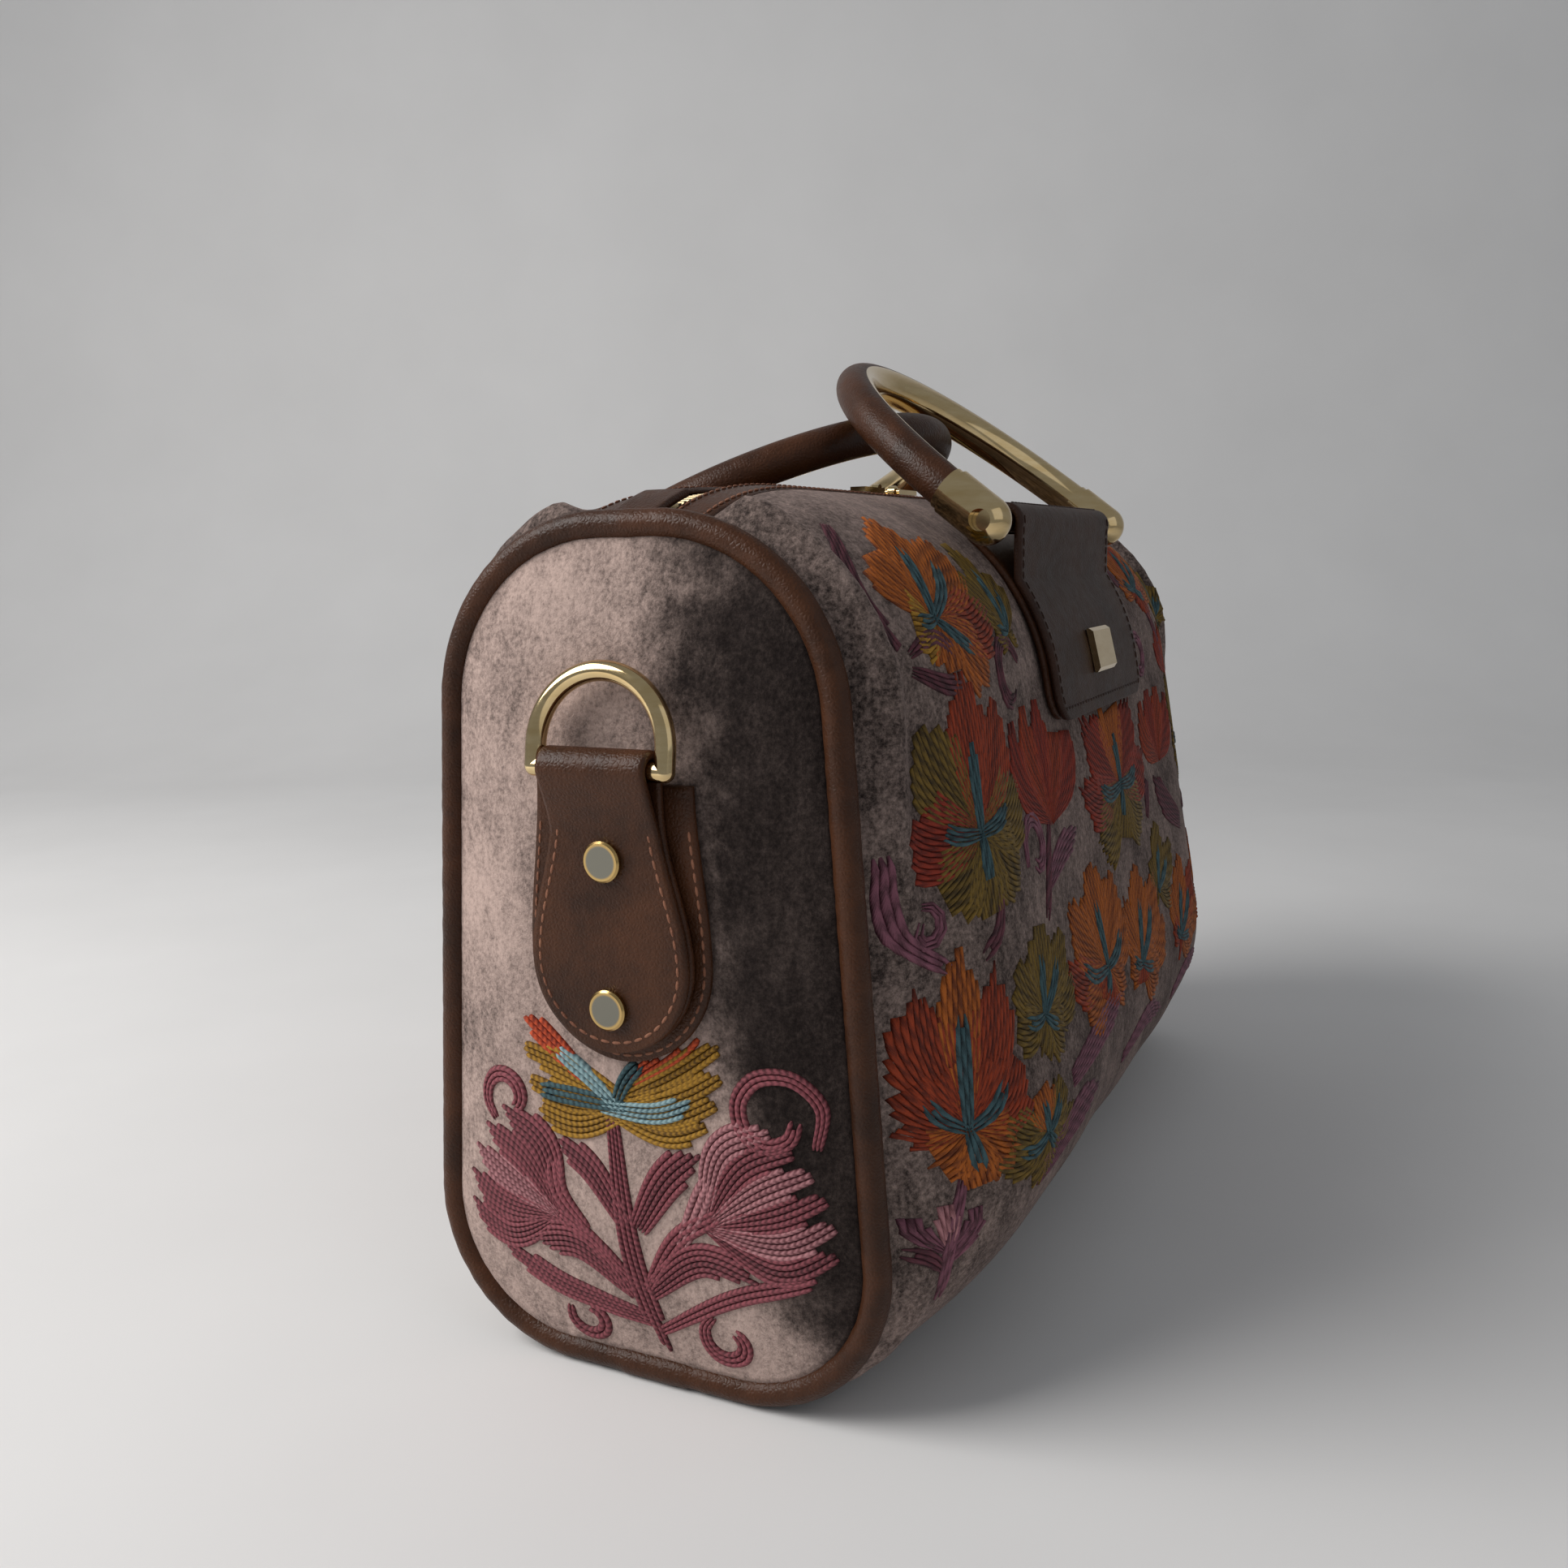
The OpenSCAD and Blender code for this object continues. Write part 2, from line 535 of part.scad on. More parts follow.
module right_embroidery_rose() { color(rose_wool) mirror([0, 1, 0]) end_rose(); }

// Zip facing: a leather strip along the crown between the zip and the velvet
facing_cuts = 4;
function facing_line(x, d) = [for (i = [0:facing_cuts])
  let (y = mix(zip_half, facing_half, i / facing_cuts)) [y, crown_at(x, y) - d]];
module facing() {
  loft([for (x = stations(skin_end)) at_x(x, concat(reversed(facing_line(x, 0)), facing_line(x, facing_t)))],
    skin = true);
}
module front_zip_facing() { color(leather) mirror([0, 1, 0]) facing(); }
module back_zip_facing() { color(leather) facing(); }

// Strips that follow the crown's middle line, between two depths below it
tape_top = facing_t + gap + 1.8;
tape_half = mouth_half - gap;
tape_end = skin_end - 2;
function crown_line(x_end, d) = [for (x = stations(x_end)) [x, crown(x) - d]];
module crown_strip(x_end, d1, d2, width) {
  rotate([90, 0, 0]) linear_extrude(width, center = true)
    polygon(concat(crown_line(x_end, d1), reversed(crown_line(x_end, d2))));
}
module zip_tape() { color(black) crown_strip(tape_end, tape_top, tape_top + tape_t, 2 * tape_half); }

// Row of teeth: a comb that follows the crown
chain_end = skin_end - stop_l;
tooth_h = 2;
tooth_count = floor(2 * chain_end / tooth_pitch);
tooth_root = 0.6;
chain_low = tape_top - gap / 4;
tooth_span = 4;
function chain_point(i, h) = let (x = (i - tooth_count / 2) * tooth_pitch) [x, crown(x) - chain_low + h];
module zip_chain() {
  comb = [for (i = [0:tooth_count - 1]) each [chain_point(i, tooth_root), chain_point(i + 0.2, tooth_h),
    chain_point(i + 0.7, tooth_h), chain_point(i + 0.9, tooth_root)]];
  spans = ceil(tooth_count / tooth_span);
  under = [for (k = [spans:-1:0]) chain_point(tooth_count * k / spans, 0)];
  color(black) rotate([90, 0, 0]) linear_extrude(2 * tooth_half, center = true) polygon(concat(comb, under));
}

// Leather stop folded over a zip end beside the piping
stop_t = 2.4;
module zip_stop() {
  inner = skin_end - stop_l + 1;
  xs = [for (i = [0:4]) mix(inner, skin_end, i / 4)];
  top = [for (x = xs) [x, crown(x) + stop_t]];
  low = [for (x = reversed(xs)) [x, crown(x) + gap]];
  color(leather) rotate([90, 0, 0]) linear_extrude(stop_w, center = true) polygon(concat(top, low));
}
module left_zip_stop() { mirror([1, 0, 0]) zip_stop(); }
module right_zip_stop() { zip_stop(); }

// Zip slider: a channel over the teeth with a lug that holds the pull's pin
slider_x = slider_gap / 2 + slider_l / 2;
channel_top = crown_h - tape_top + tooth_h + 2 * turn_gap;
plate_up = 1.4;
slider_half = tooth_half + turn_gap + 1.3;
pin_r = 1;
lug_r = 2.1;
lug_half = 1.2;
lug_x = slider_x + 1;
pin_z = channel_top + plate_up + lug_r - 0.4;
module slider() {
  color(gold) difference() {
    union() {
      translate([slider_x - slider_l / 2, -slider_half, crown_h - tape_top + turn_gap])
        cube([slider_l, 2 * slider_half, channel_top + plate_up - (crown_h - tape_top + turn_gap)]);
      translate([lug_x, 0, pin_z]) rotate([90, 0, 0]) cylinder(r = lug_r, h = 2 * lug_half, center = true);
      translate([lug_x - lug_r, -lug_half, channel_top])
        cube([2 * lug_r, 2 * lug_half, plate_up + lug_r - 0.4]);
    }
    translate([slider_x - slider_l, -tooth_half - turn_gap, crown_h - tape_top])
      cube([2 * slider_l, 2 * (tooth_half + turn_gap), channel_top - (crown_h - tape_top)]);
    translate([lug_x, 0, pin_z]) rotate([90, 0, 0])
      cylinder(r = pin_r + turn_gap, h = 4 * lug_half, center = true);
  }
}
module left_slider() { mirror([1, 0, 0]) slider(); }
module right_slider() { slider(); }

// Pull: a pin through the lug, two cheeks beside it and a flat bar
module pull() {
  cheek_in = lug_half + turn_gap;
  color(gold) translate([lug_x, 0, pin_z]) {
    rotate([90, 0, 0]) cylinder(r = pin_r, h = pull_w, center = true);
    for (s = [0, 1]) mirror([0, s, 0]) translate([0, cheek_in, -pull_t / 2])
      cube([lug_r + 2 * turn_gap + 0.5, pull_w / 2 - cheek_in, pull_t]);
    translate([lug_r + 2 * turn_gap, -pull_w / 2, -pull_t / 2])
      cube([pull_l - lug_r - 2 * turn_gap, pull_w, pull_t]);
  }
}
module left_pull() { mirror([1, 0, 0]) pull(); }
module right_pull() { pull(); }

// Handle tab: leather that lies on the shoulder and folds round the handle's bar
loop_in = bar_d / 2 + turn_gap;
loop_out = loop_in + leather_t;
patch_out = gap + leather_t;
mid_high = high_centre(0);
mid_angle = side_angle(0);
tab_low = mid_high.y - tab_drop;
bar_angle = 46;
bar_at = mid_high + (shoulder_r + bar_off) * polar(bar_angle);
seam_angle = bar_angle - 13;
band_cuts = 8;
// Line at the distance d outside the skin from the angle a down to the tab's lower edge
function tab_line(a, d) =
  let (n = polar(mid_angle), p = mid_high + (shoulder_r + d) * n, drop = (p.y - tab_low) / n.x)
  concat(
    [for (i = [0:band_cuts]) mid_high + (shoulder_r + d) * polar(mix(a, mid_angle, i / band_cuts))],
    [p + drop * [n.y, -n.x]]);
module tab_band(a, d1, d2) { polygon(concat(tab_line(a, d2), reversed(tab_line(a, d1)))); }
// Front view of a tab with its two lower corners rounded
module tab_front() {
  translate([-tab_w / 2, tab_low + tab_r]) square([tab_w, crown_h]);
  translate([-tab_w / 2 + tab_r, tab_low - 2]) square([tab_w - 2 * tab_r, crown_h]);
  for (s = [-1, 1]) translate([s * (tab_w / 2 - tab_r), tab_low + tab_r]) circle(tab_r);
}
module tab_trim() {
  intersection() {
    children();
    rotate([90, 0, 0]) linear_extrude(4 * shoulder_half, center = true) tab_front();
  }
}
// Section of a tab: up the front to the seam, round the bar's loop and down behind it
loop_steps = 16;
loop_from = -60;
loop_to = 170;
function tab_section() =
  let (d1 = patch_out + gap, d2 = d1 + leather_t,
    seam_at = mid_high + (shoulder_r + d2 + leather_t) * polar(seam_angle))
  concat(
    reversed(tab_line(seam_angle, d2)), [seam_at],
    [for (i = [0:loop_steps]) bar_at + loop_out * polar(bar_angle + mix(loop_from, loop_to, i / loop_steps))],
    tab_line(bar_angle, d1));
module tab() {
  color(leather) tab_trim() difference() {
    along_x(tab_w) polygon(tab_section());
    translate([0, bar_at.x, bar_at.y]) rotate([0, 90, 0]) cylinder(r = loop_in, h = 2 * tab_w, center = true);
  }
}
module front_handle_tab() { mirror([0, 1, 0]) tab(); }
module back_handle_tab() { tab(); }
module tab_backing() { color(leather) tab_trim() along_x(tab_w) tab_band(bar_angle + 4, gap, patch_out); }
module front_tab_backing() { mirror([0, 1, 0]) tab_backing(); }
module back_tab_backing() { tab_backing(); }

// Plain bevelled plate on the front tab
plate_bevel = 1.2;
tab_face = shoulder_r + patch_out + gap + leather_t;
plate_angle = mid_angle + plate_turn;
module front_plate() {
  corner = [plate_w / 2, plate_h / 2];
  color(gold) mirror([0, 1, 0]) translate([0, mid_high.x, mid_high.y]) rotate([plate_angle - 90, 0, 0])
    translate([0, 0, tab_face + gap]) rotate([90, 0, 90]) linear_extrude(plate_w, center = true)
      polygon([[-corner.y, 0], [corner.y, 0], [corner.y, plate_t - plate_bevel],
        [corner.y - plate_bevel, plate_t], [plate_bevel - corner.y, plate_t],
        [-corner.y, plate_t - plate_bevel]]);
}

// Handle, upright on its bar: a half round of metal inside and a half round of leather outside
tube_r = tube_d / 2;
arch_r = foot_half;
module half_round(out) {
  intersection() {
    circle(tube_r);
    translate([out ? 0 : -tube_d, -tube_d]) square([tube_d, 2 * tube_d]);
  }
}
module half_tube(out) {
  translate([0, 0, leg_l]) rotate([90, 0, 0])
    rotate_extrude(angle = 180) translate([arch_r, 0]) half_round(out);
  for (s = [0, 1]) mirror([s, 0, 0]) translate([arch_r, 0, 0]) linear_extrude(leg_l) half_round(out);
}
module handle_shell(out) {
  difference() {
    half_tube(out);
    translate([0, 0, -arch_r]) cube([4 * arch_r, 4 * tube_d, 2 * (ferrule_l + arch_r)], center = true);
  }
}
module place_handle(front) {
  both_ways(front, [0, 1, 0]) translate([0, bar_at.x, bar_at.y])
    rotate([front ? front_lean : back_lean, 0, 0]) children();
}
module front_handle_core() { color(gold) place_handle(true) handle_shell(false); }
module back_handle_core() { color(gold) place_handle(false) handle_shell(false); }
module front_handle_leather() { color(leather) place_handle(true) handle_shell(true); }
module back_handle_leather() { color(leather) place_handle(false) handle_shell(true); }

// Metal ferrule on each foot: a tube with a lip and a domed end, drilled for the bar
ferrule_r = ferrule_d / 2;
ferrule_lip = 0.6;
bar_gap = 0.05;
module ferrule_profile() {
  intersection() {
    circle(ferrule_r);
    translate([0, -ferrule_d]) square(ferrule_d);
  }
  square([ferrule_r, ferrule_l - 2]);
  translate([0, ferrule_l - 2]) square([ferrule_r - ferrule_lip, 2]);
}
module ferrule_pair() {
  for (s = [-1, 1]) translate([s * foot_half, 0, 0]) difference() {
    rotate_extrude() ferrule_profile();
    rotate([0, 90, 0]) cylinder(d = bar_d + 2 * bar_gap, h = 2 * ferrule_d, center = true);
  }
}
module handle_bar() { rotate([0, 90, 0]) cylinder(d = bar_d, h = 2 * foot_half + ferrule_r, center = true); }
module front_ferrules() { color(gold) place_handle(true) ferrule_pair(); }
module back_ferrules() { color(gold) place_handle(false) ferrule_pair(); }
module front_handle_bar() { color(gold) place_handle(true) handle_bar(); }
module back_handle_bar() { color(gold) place_handle(false) handle_bar(); }

// Ring strap: two layers of leather folded round the ring's bar, over a larger backing patch
wire_r = wire_d / 2;
ring_loop_in = wire_r + turn_gap;
ring_loop_out = ring_loop_in + leather_t;
strap_in = gap + leather_t + gap;
strap_out = strap_in + 2 * leather_t;
ring_out = strap_in + ring_loop_out;
neck_half = ring_w / 2 - 0.5;
neck_z = ring_z - 10;
patch_top = ring_z - 4;
patch_top_half = neck_half + 7;
outline_steps = 10;
function ease(t) = t * t * (3 - 2 * t);
// Half outline of a hanging tongue: from its top down to its round lower end
function tongue(z_top, half_top, z_wide, half) = concat(
  [for (i = [0:outline_steps]) let (t = i / outline_steps)
    [mix(half_top, half, ease(t)), mix(z_top, z_wide, t)]],
  [for (i = [1:outline_steps]) [0, z_wide] + half * polar(-90 * i / outline_steps)]);
module tongue_slab(line, w1, w2) {
  translate([end_face + w1, 0, 0]) rotate([90, 0, 90]) linear_extrude(w2 - w1)
    polygon(concat(reversed(line), flipped(line)));
}
module strap_patch() {
  color(leather) tongue_slab(
    tongue(patch_top, patch_top_half, strap_z, strap_half + patch_margin), gap, gap + leather_t);
}
module left_strap_patch() { mirror([1, 0, 0]) strap_patch(); }
module right_strap_patch() { strap_patch(); }
module ring_strap() {
  axis = [end_face + ring_out, ring_z];
  fold_z = ring_z - 3 * ring_loop_out;
  color(leather) difference() {
    union() {
      tongue_slab(concat([[neck_half, ring_z]], tongue(neck_z, neck_half, strap_z, strap_half)),
        strap_in, strap_out);
      rotate([90, 0, 0]) linear_extrude(2 * neck_half, center = true) {
        translate(axis) circle(ring_loop_out);
        polygon([axis - [ring_loop_out, 0], [end_face + strap_in, fold_z], [end_face + strap_out, fold_z],
          axis + ring_loop_out * polar(-15)]);
      }
    }
    translate([axis.x, 0, axis.y]) rotate([90, 0, 0])
      cylinder(r = ring_loop_in, h = 4 * neck_half, center = true);
  }
}
module left_ring_strap() { mirror([1, 0, 0]) ring_strap(); }
module right_ring_strap() { ring_strap(); }

// Two flat-capped rivets with a small round edge
rivet_edge = 0.5;
module rivet_pair() {
  color(gold) for (z = [rivet_high, rivet_low]) translate([end_face + strap_out, 0, z]) rotate([0, 90, 0])
    rotate_extrude() polygon([[0, 0], [rivet_d / 2, 0], [rivet_d / 2, rivet_t - rivet_edge],
      [rivet_d / 2 - rivet_edge, rivet_t], [0, rivet_t]]);
}
module left_rivets() { mirror([1, 0, 0]) rivet_pair(); }
module right_rivets() { rivet_pair(); }

// D-ring: one wire with a straight bar, two short sides and an arch
ring_r = ring_w / 2 + wire_r;
module d_ring() {
  color(gold) translate([end_face + ring_out, 0, ring_z]) rotate([0, -ring_lean, 0]) {
    rotate([90, 0, 0]) cylinder(r = wire_r, h = 2 * ring_r, center = true);
    for (s = [-1, 1]) translate([0, s * ring_r, 0]) {
      sphere(wire_r);
      cylinder(r = wire_r, h = ring_side);
    }
    translate([0, 0, ring_side]) rotate([90, 0, 90])
      rotate_extrude(angle = 180) translate([ring_r, 0]) circle(wire_r);
  }
}
module left_d_ring() { mirror([1, 0, 0]) d_ring(); }
module right_d_ring() { d_ring(); }

front_panel();
back_panel();
base_panel();
left_end_panel();
right_end_panel();
left_piping();
right_piping();
lining();
base_board();
front_zip_facing();
back_zip_facing();
zip_tape();
zip_chain();
left_zip_stop();
right_zip_stop();
left_slider();
right_slider();
left_pull();
right_pull();
front_handle_tab();
back_handle_tab();
front_tab_backing();
back_tab_backing();
front_plate();
front_handle_core();
back_handle_core();
front_handle_leather();
back_handle_leather();
front_ferrules();
back_ferrules();
front_handle_bar();
back_handle_bar();
left_ring_strap();
right_ring_strap();
left_strap_patch();
right_strap_patch();
left_rivets();
right_rivets();
left_d_ring();
right_d_ring();
front_embroidery_rust();
front_embroidery_orange();
front_embroidery_mustard();
front_embroidery_plum();
back_embroidery_rust();
back_embroidery_orange();
back_embroidery_mustard();
back_embroidery_plum();
left_embroidery_teal();
left_embroidery_orange();
left_embroidery_mustard();
left_embroidery_rose();
right_embroidery_teal();
right_embroidery_orange();
right_embroidery_mustard();
right_embroidery_rose();
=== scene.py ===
# %% [markdown]
# A velvet travel handbag with wool embroidery.
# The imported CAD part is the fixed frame: it says where every panel, ring and handle is.
# This notebook dresses that frame: velvet with its pile, leather with grain and stitches,
# pale gold metal, and embroidery that is laid row by row as a chain-stitcher would lay it.

# %% Load the frame
import math

import bmesh
import bpy
import numpy as np
from mathutils import Matrix


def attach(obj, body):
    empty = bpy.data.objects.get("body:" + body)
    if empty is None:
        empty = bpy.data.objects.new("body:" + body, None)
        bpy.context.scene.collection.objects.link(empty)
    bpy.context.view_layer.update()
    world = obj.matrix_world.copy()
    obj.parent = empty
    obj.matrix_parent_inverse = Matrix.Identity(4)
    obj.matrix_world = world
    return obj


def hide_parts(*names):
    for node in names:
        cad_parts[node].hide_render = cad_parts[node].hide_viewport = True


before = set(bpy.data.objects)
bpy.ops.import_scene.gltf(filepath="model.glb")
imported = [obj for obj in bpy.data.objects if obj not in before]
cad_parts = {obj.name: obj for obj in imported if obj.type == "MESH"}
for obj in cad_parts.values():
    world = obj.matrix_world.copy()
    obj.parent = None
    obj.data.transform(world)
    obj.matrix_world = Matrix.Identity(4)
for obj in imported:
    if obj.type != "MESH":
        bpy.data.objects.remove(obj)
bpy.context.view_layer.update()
MM = 0.001

# %% [markdown]
# The camera stands close to the left end and looks along the bag, a little downwards.
# A camera could be aimed with a constraint, but its three axes worked out from yaw, pitch and roll
# keep the photograph's slight tilt as well, so the matrix is written directly.

# %% Camera at the photograph's angle
EYE = np.array([-0.45188, -0.18098, 0.20922])
YAW, PITCH, ROLL = np.radians([26.032, 9.03, -1.067])
FOCAL_PX, IMAGE_PX = 1746.4, 1932


def camera_axes(yaw, pitch, roll):
    """Rows are the camera's right, up and forward: forward from yaw and pitch,
    right = forward x Z, up = right x forward, then right and up turned by roll."""
    forward = np.array([np.cos(pitch) * np.cos(yaw), np.cos(pitch) * np.sin(yaw), -np.sin(pitch)])
    right = np.cross(forward, [0, 0, 1])
    right /= np.linalg.norm(right)
    up = np.cross(right, forward)
    c, s = np.cos(roll), np.sin(roll)
    return np.array([c * right + s * up, c * up - s * right, forward])


def placed(x, y, z, at):
    """World matrix from three axes and a place."""
    return Matrix(np.vstack([np.stack([x, y, z, at], 1), [0, 0, 0, 1]]).tolist())


right, up, forward = camera_axes(YAW, PITCH, ROLL)
camera_data = bpy.data.cameras.new("camera")
camera_data.sensor_width = 36
camera_data.lens = camera_data.sensor_width * FOCAL_PX / IMAGE_PX
camera_data.clip_start = 0.01
camera = bpy.data.objects.new("camera", camera_data)
camera.matrix_world = placed(right, up, -forward, EYE)
bpy.context.scene.collection.objects.link(camera)
bpy.context.scene.camera = camera
print("lens", round(camera_data.lens, 2), "mm")

# %% [markdown]
# Shader maths reads best as sums. A `Wire` holds one socket, and adding or multiplying wires adds the
# Math nodes. A `Finish` is one material: its `node` method makes every node from its type,
# its settings and what its sockets get, so that each finish below is a few readable lines.

# %% Wires and finishes


class Wire:
    """A socket of a material's tree that can be used in sums."""

    def __init__(self, finish, socket):
        self.finish = finish
        self.socket = socket

    def math(self, operation, *others):
        return self.finish.node("ShaderNodeMath", {"operation": operation}, [self, *others])

    def __add__(self, other):
        return self.math("ADD", other)

    def __sub__(self, other):
        return self.math("SUBTRACT", other)

    def __rsub__(self, other):
        return self.math("MULTIPLY_ADD", -1.0, other)

    def __mul__(self, other):
        return self.math("MULTIPLY", other)

    def clip(self, low, high):
        """The part of the value from low to high, eased to run from 0 to 1."""
        return self.finish.node("ShaderNodeMapRange", {"interpolation_type": "SMOOTHSTEP"},
                                {"Value": self, "From Min": low, "From Max": high})


class Finish:
    """A material built round one Principled shader."""

    def __init__(self, name, **constants):
        self.material = bpy.data.materials.new(name)
        self.material.use_nodes = True
        self.tree = self.material.node_tree
        self.shader = self.tree.nodes["Principled BSDF"]
        self.set({key.replace("_", " "): value for key, value in constants.items()})

    def set(self, sockets, node=None):
        """Gives named or numbered sockets of a node, or else of the shader, a value or a link to a wire."""
        for key, value in (sockets.items() if isinstance(sockets, dict) else enumerate(sockets)):
            socket = (self.shader if node is None else node).inputs[key]
            if isinstance(value, Wire):
                self.tree.links.new(value.socket, socket)
            else:
                socket.default_value = value

    def node(self, kind, settings=None, sockets=(), out=0):
        """Adds a node: its settings first, then its sockets. Returns the wire of one output."""
        node = self.tree.nodes.new(kind)
        for key, value in (settings or {}).items():
            setattr(node, key, value)
        self.set(sockets, node)
        return Wire(self, node.outputs[out])

    def place(self, out="Object"):
        return self.node("ShaderNodeTexCoord", out=out)

    def axes(self, out="Object"):
        """The three coordinates, each as a wire."""
        parts = self.node("ShaderNodeSeparateXYZ", {}, [self.place(out)])
        return [Wire(self, socket) for socket in parts.socket.node.outputs]

    def stretched(self, scale):
        """Coordinates multiplied by a different factor along each axis."""
        return self.node("ShaderNodeVectorMath", {"operation": "MULTIPLY"}, [self.place(), scale])

    def noise(self, scale, detail=3.0, rough=0.55, at=None):
        return self.node("ShaderNodeTexNoise", {}, {"Vector": at or self.place(), "Scale": scale,
                                                    "Detail": detail, "Roughness": rough})

    def blend(self, factor, a, b):
        """Colour that goes from code a to code b with the factor. A Mix node has sockets for several
        kinds of value: its colours are inputs 6 and 7, and output 2."""
        return self.node("ShaderNodeMix", {"data_type": "RGBA"}, {0: factor, 6: colour(a), 7: colour(b)}, 2)

    def bump(self, height, strength, distance):
        """Raises the surface by the height: distance is in metres."""
        self.set({"Normal": self.node("ShaderNodeBump", {}, {
            "Strength": strength, "Distance": distance, "Height": height})})


def colour(code):
    """Linear colour of a six-digit hex code."""
    c = np.array([int(code[i:i + 2], 16) for i in (0, 2, 4)]) / 255
    linear = np.where(c <= 0.04045, c / 12.92, ((c + 0.055) / 1.055) ** 2.4)
    return (*linear.tolist(), 1.0)


print("finish tools ready")

# %% [markdown]
# Most pieces here are surfaces worked out as a grid of points, two numbers in and a place out. A modifier
# stack could bend a plane into the same forms, but with numpy each formula is one line that can be checked.
# Points are in millimetres, as in the CAD, and become metres when the mesh is made.

# %% Mesh tools
ALONG, ACROSS = np.array([1, 0, 0]), np.array([0, 1, 0])


def grid_faces(n, m, close_n=False, close_m=False):
    """Quads of an n by m grid of points, wrapped round where it is closed."""
    rows, columns = np.arange(n if close_n else n - 1), np.arange(m if close_m else m - 1)
    i, j = (g.ravel() for g in np.meshgrid(rows, columns, indexing="ij"))
    k, l = (i + 1) % n, (j + 1) % m
    return np.stack([i * m + j, k * m + j, k * m + l, i * m + l], 1)


def to_mesh(name, points, faces, uv=None):
    """Mesh object from points in millimetres and quads, with a UV pair for each point."""
    mesh = bpy.data.meshes.new(name)
    mesh.vertices.add(len(points))
    mesh.vertices.foreach_set("co", (np.asarray(points, np.float32) * MM).ravel())
    mesh.loops.add(faces.size)
    mesh.loops.foreach_set("vertex_index", faces.astype(np.int32).ravel())
    mesh.polygons.add(len(faces))
    mesh.polygons.foreach_set("loop_start", np.arange(0, faces.size, 4, dtype=np.int32))
    if uv is not None:
        layer = mesh.uv_layers.new(name="along")
        layer.data.foreach_set("uv", np.asarray(uv, np.float32)[faces.ravel()].ravel())
    mesh.update(calc_edges=True)
    mesh.polygons.foreach_set("use_smooth", np.ones(len(faces), bool))
    obj = bpy.data.objects.new(name, mesh)
    bpy.context.scene.collection.objects.link(obj)
    return obj


def closed_up(obj):
    """Merges doubled points, drops collapsed faces and turns every face outwards."""
    nearest = 1e-6
    bm = bmesh.new()
    bm.from_mesh(obj.data)
    bmesh.ops.remove_doubles(bm, verts=bm.verts, dist=nearest)
    bmesh.ops.dissolve_degenerate(bm, edges=bm.edges, dist=nearest)
    bmesh.ops.recalc_face_normals(bm, faces=bm.faces)
    bm.to_mesh(obj.data)
    bm.free()
    return obj


def slab(name, outer, inner):
    """Closed sheet with an outer and an inner grid of points, joined round the border."""
    n, m = outer.shape[:2]
    index = np.arange(n * m).reshape(n, m)
    rim = np.concatenate([index[:-1, 0], index[-1, :-1], index[:0:-1, -1], index[0, :0:-1]])
    after = np.roll(rim, -1)
    top = grid_faces(n, m)
    border = np.stack([rim, after, after + n * m, rim + n * m], 1)
    points = np.concatenate([outer.reshape(-1, 3), inner.reshape(-1, 3)])
    return closed_up(to_mesh(name, points, np.concatenate([top, top[:, ::-1] + n * m, border])))


def unit(vectors):
    return vectors / np.maximum(np.linalg.norm(vectors, axis=-1, keepdims=True), 1e-9)


def heading(line):
    """Direction of a line at each of its points."""
    return unit(np.gradient(line, axis=0))


def run_of(line):
    """Length along a line up to each of its points."""
    return np.r_[0, np.cumsum(np.linalg.norm(np.diff(line, axis=0), axis=1))]


def at_length(data, run, s):
    """What the points of a line hold, read off at the lengths s."""
    return np.stack([np.interp(s, run, data[:, k]) for k in range(data.shape[1])], 1)


def spaced(line, count, closed=True):
    """The same line with points at equal distances."""
    loop = np.concatenate([line, line[:1]]) if closed else line
    apart = np.linalg.norm(np.diff(loop, axis=0), axis=1) > 1e-6
    loop = loop[np.r_[True, apart]]
    run = run_of(loop)
    return at_length(loop, run, np.linspace(0, run[-1], count, endpoint=not closed))


def ray(turn):
    return np.stack([np.cos(turn), np.sin(turn)], -1)


def mixed(a, b, t):
    return a + (b - a) * t


def dress(obj, finish, slot, *nodes):
    """Gives a piece of the bag its finish and the nodes that it stands for. The slot is not used."""
    obj.data.materials.append(finish)
    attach(obj, "bag")
    if nodes:
        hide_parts(*nodes)
    return obj


print("mesh tools ready")

# %% [markdown]
# Floor and light. A pale sweep curves up behind the bag, so there is no horizon line.
# The light is one broad window-like panel on the left and a little behind the bag,
# with a weaker one in front to keep the shaded side readable.

# %% Studio
FLOOR_FLAT, FLOOR_BEND, FLOOR_TOP, FLOOR_HALF = 900, 500, 2200, 2600


def floor_sweep():
    """Flat floor that turns up by a quarter circle behind the bag: the path runs along the view."""
    flat = np.linspace(-FLOOR_FLAT, FLOOR_FLAT, 19)
    turn = np.radians(np.linspace(0, 90, 13))[1:]
    along = np.r_[flat, FLOOR_FLAT + FLOOR_BEND * np.sin(turn), [FLOOR_FLAT + FLOOR_BEND]]
    height = np.r_[flat * 0, FLOOR_BEND * (1 - np.cos(turn)), [FLOOR_TOP]]
    across = np.linspace(-FLOOR_HALF, FLOOR_HALF, 9)
    view = np.array([np.cos(YAW), np.sin(YAW)])
    side = np.array([-view[1], view[0]])
    points = np.zeros((len(along), len(across), 3))
    points[..., :2] = along[:, None, None] * view + across[None, :, None] * side
    points[..., 2] = height[:, None]
    return to_mesh("floor", points.reshape(-1, 3), grid_faces(len(along), len(across)))


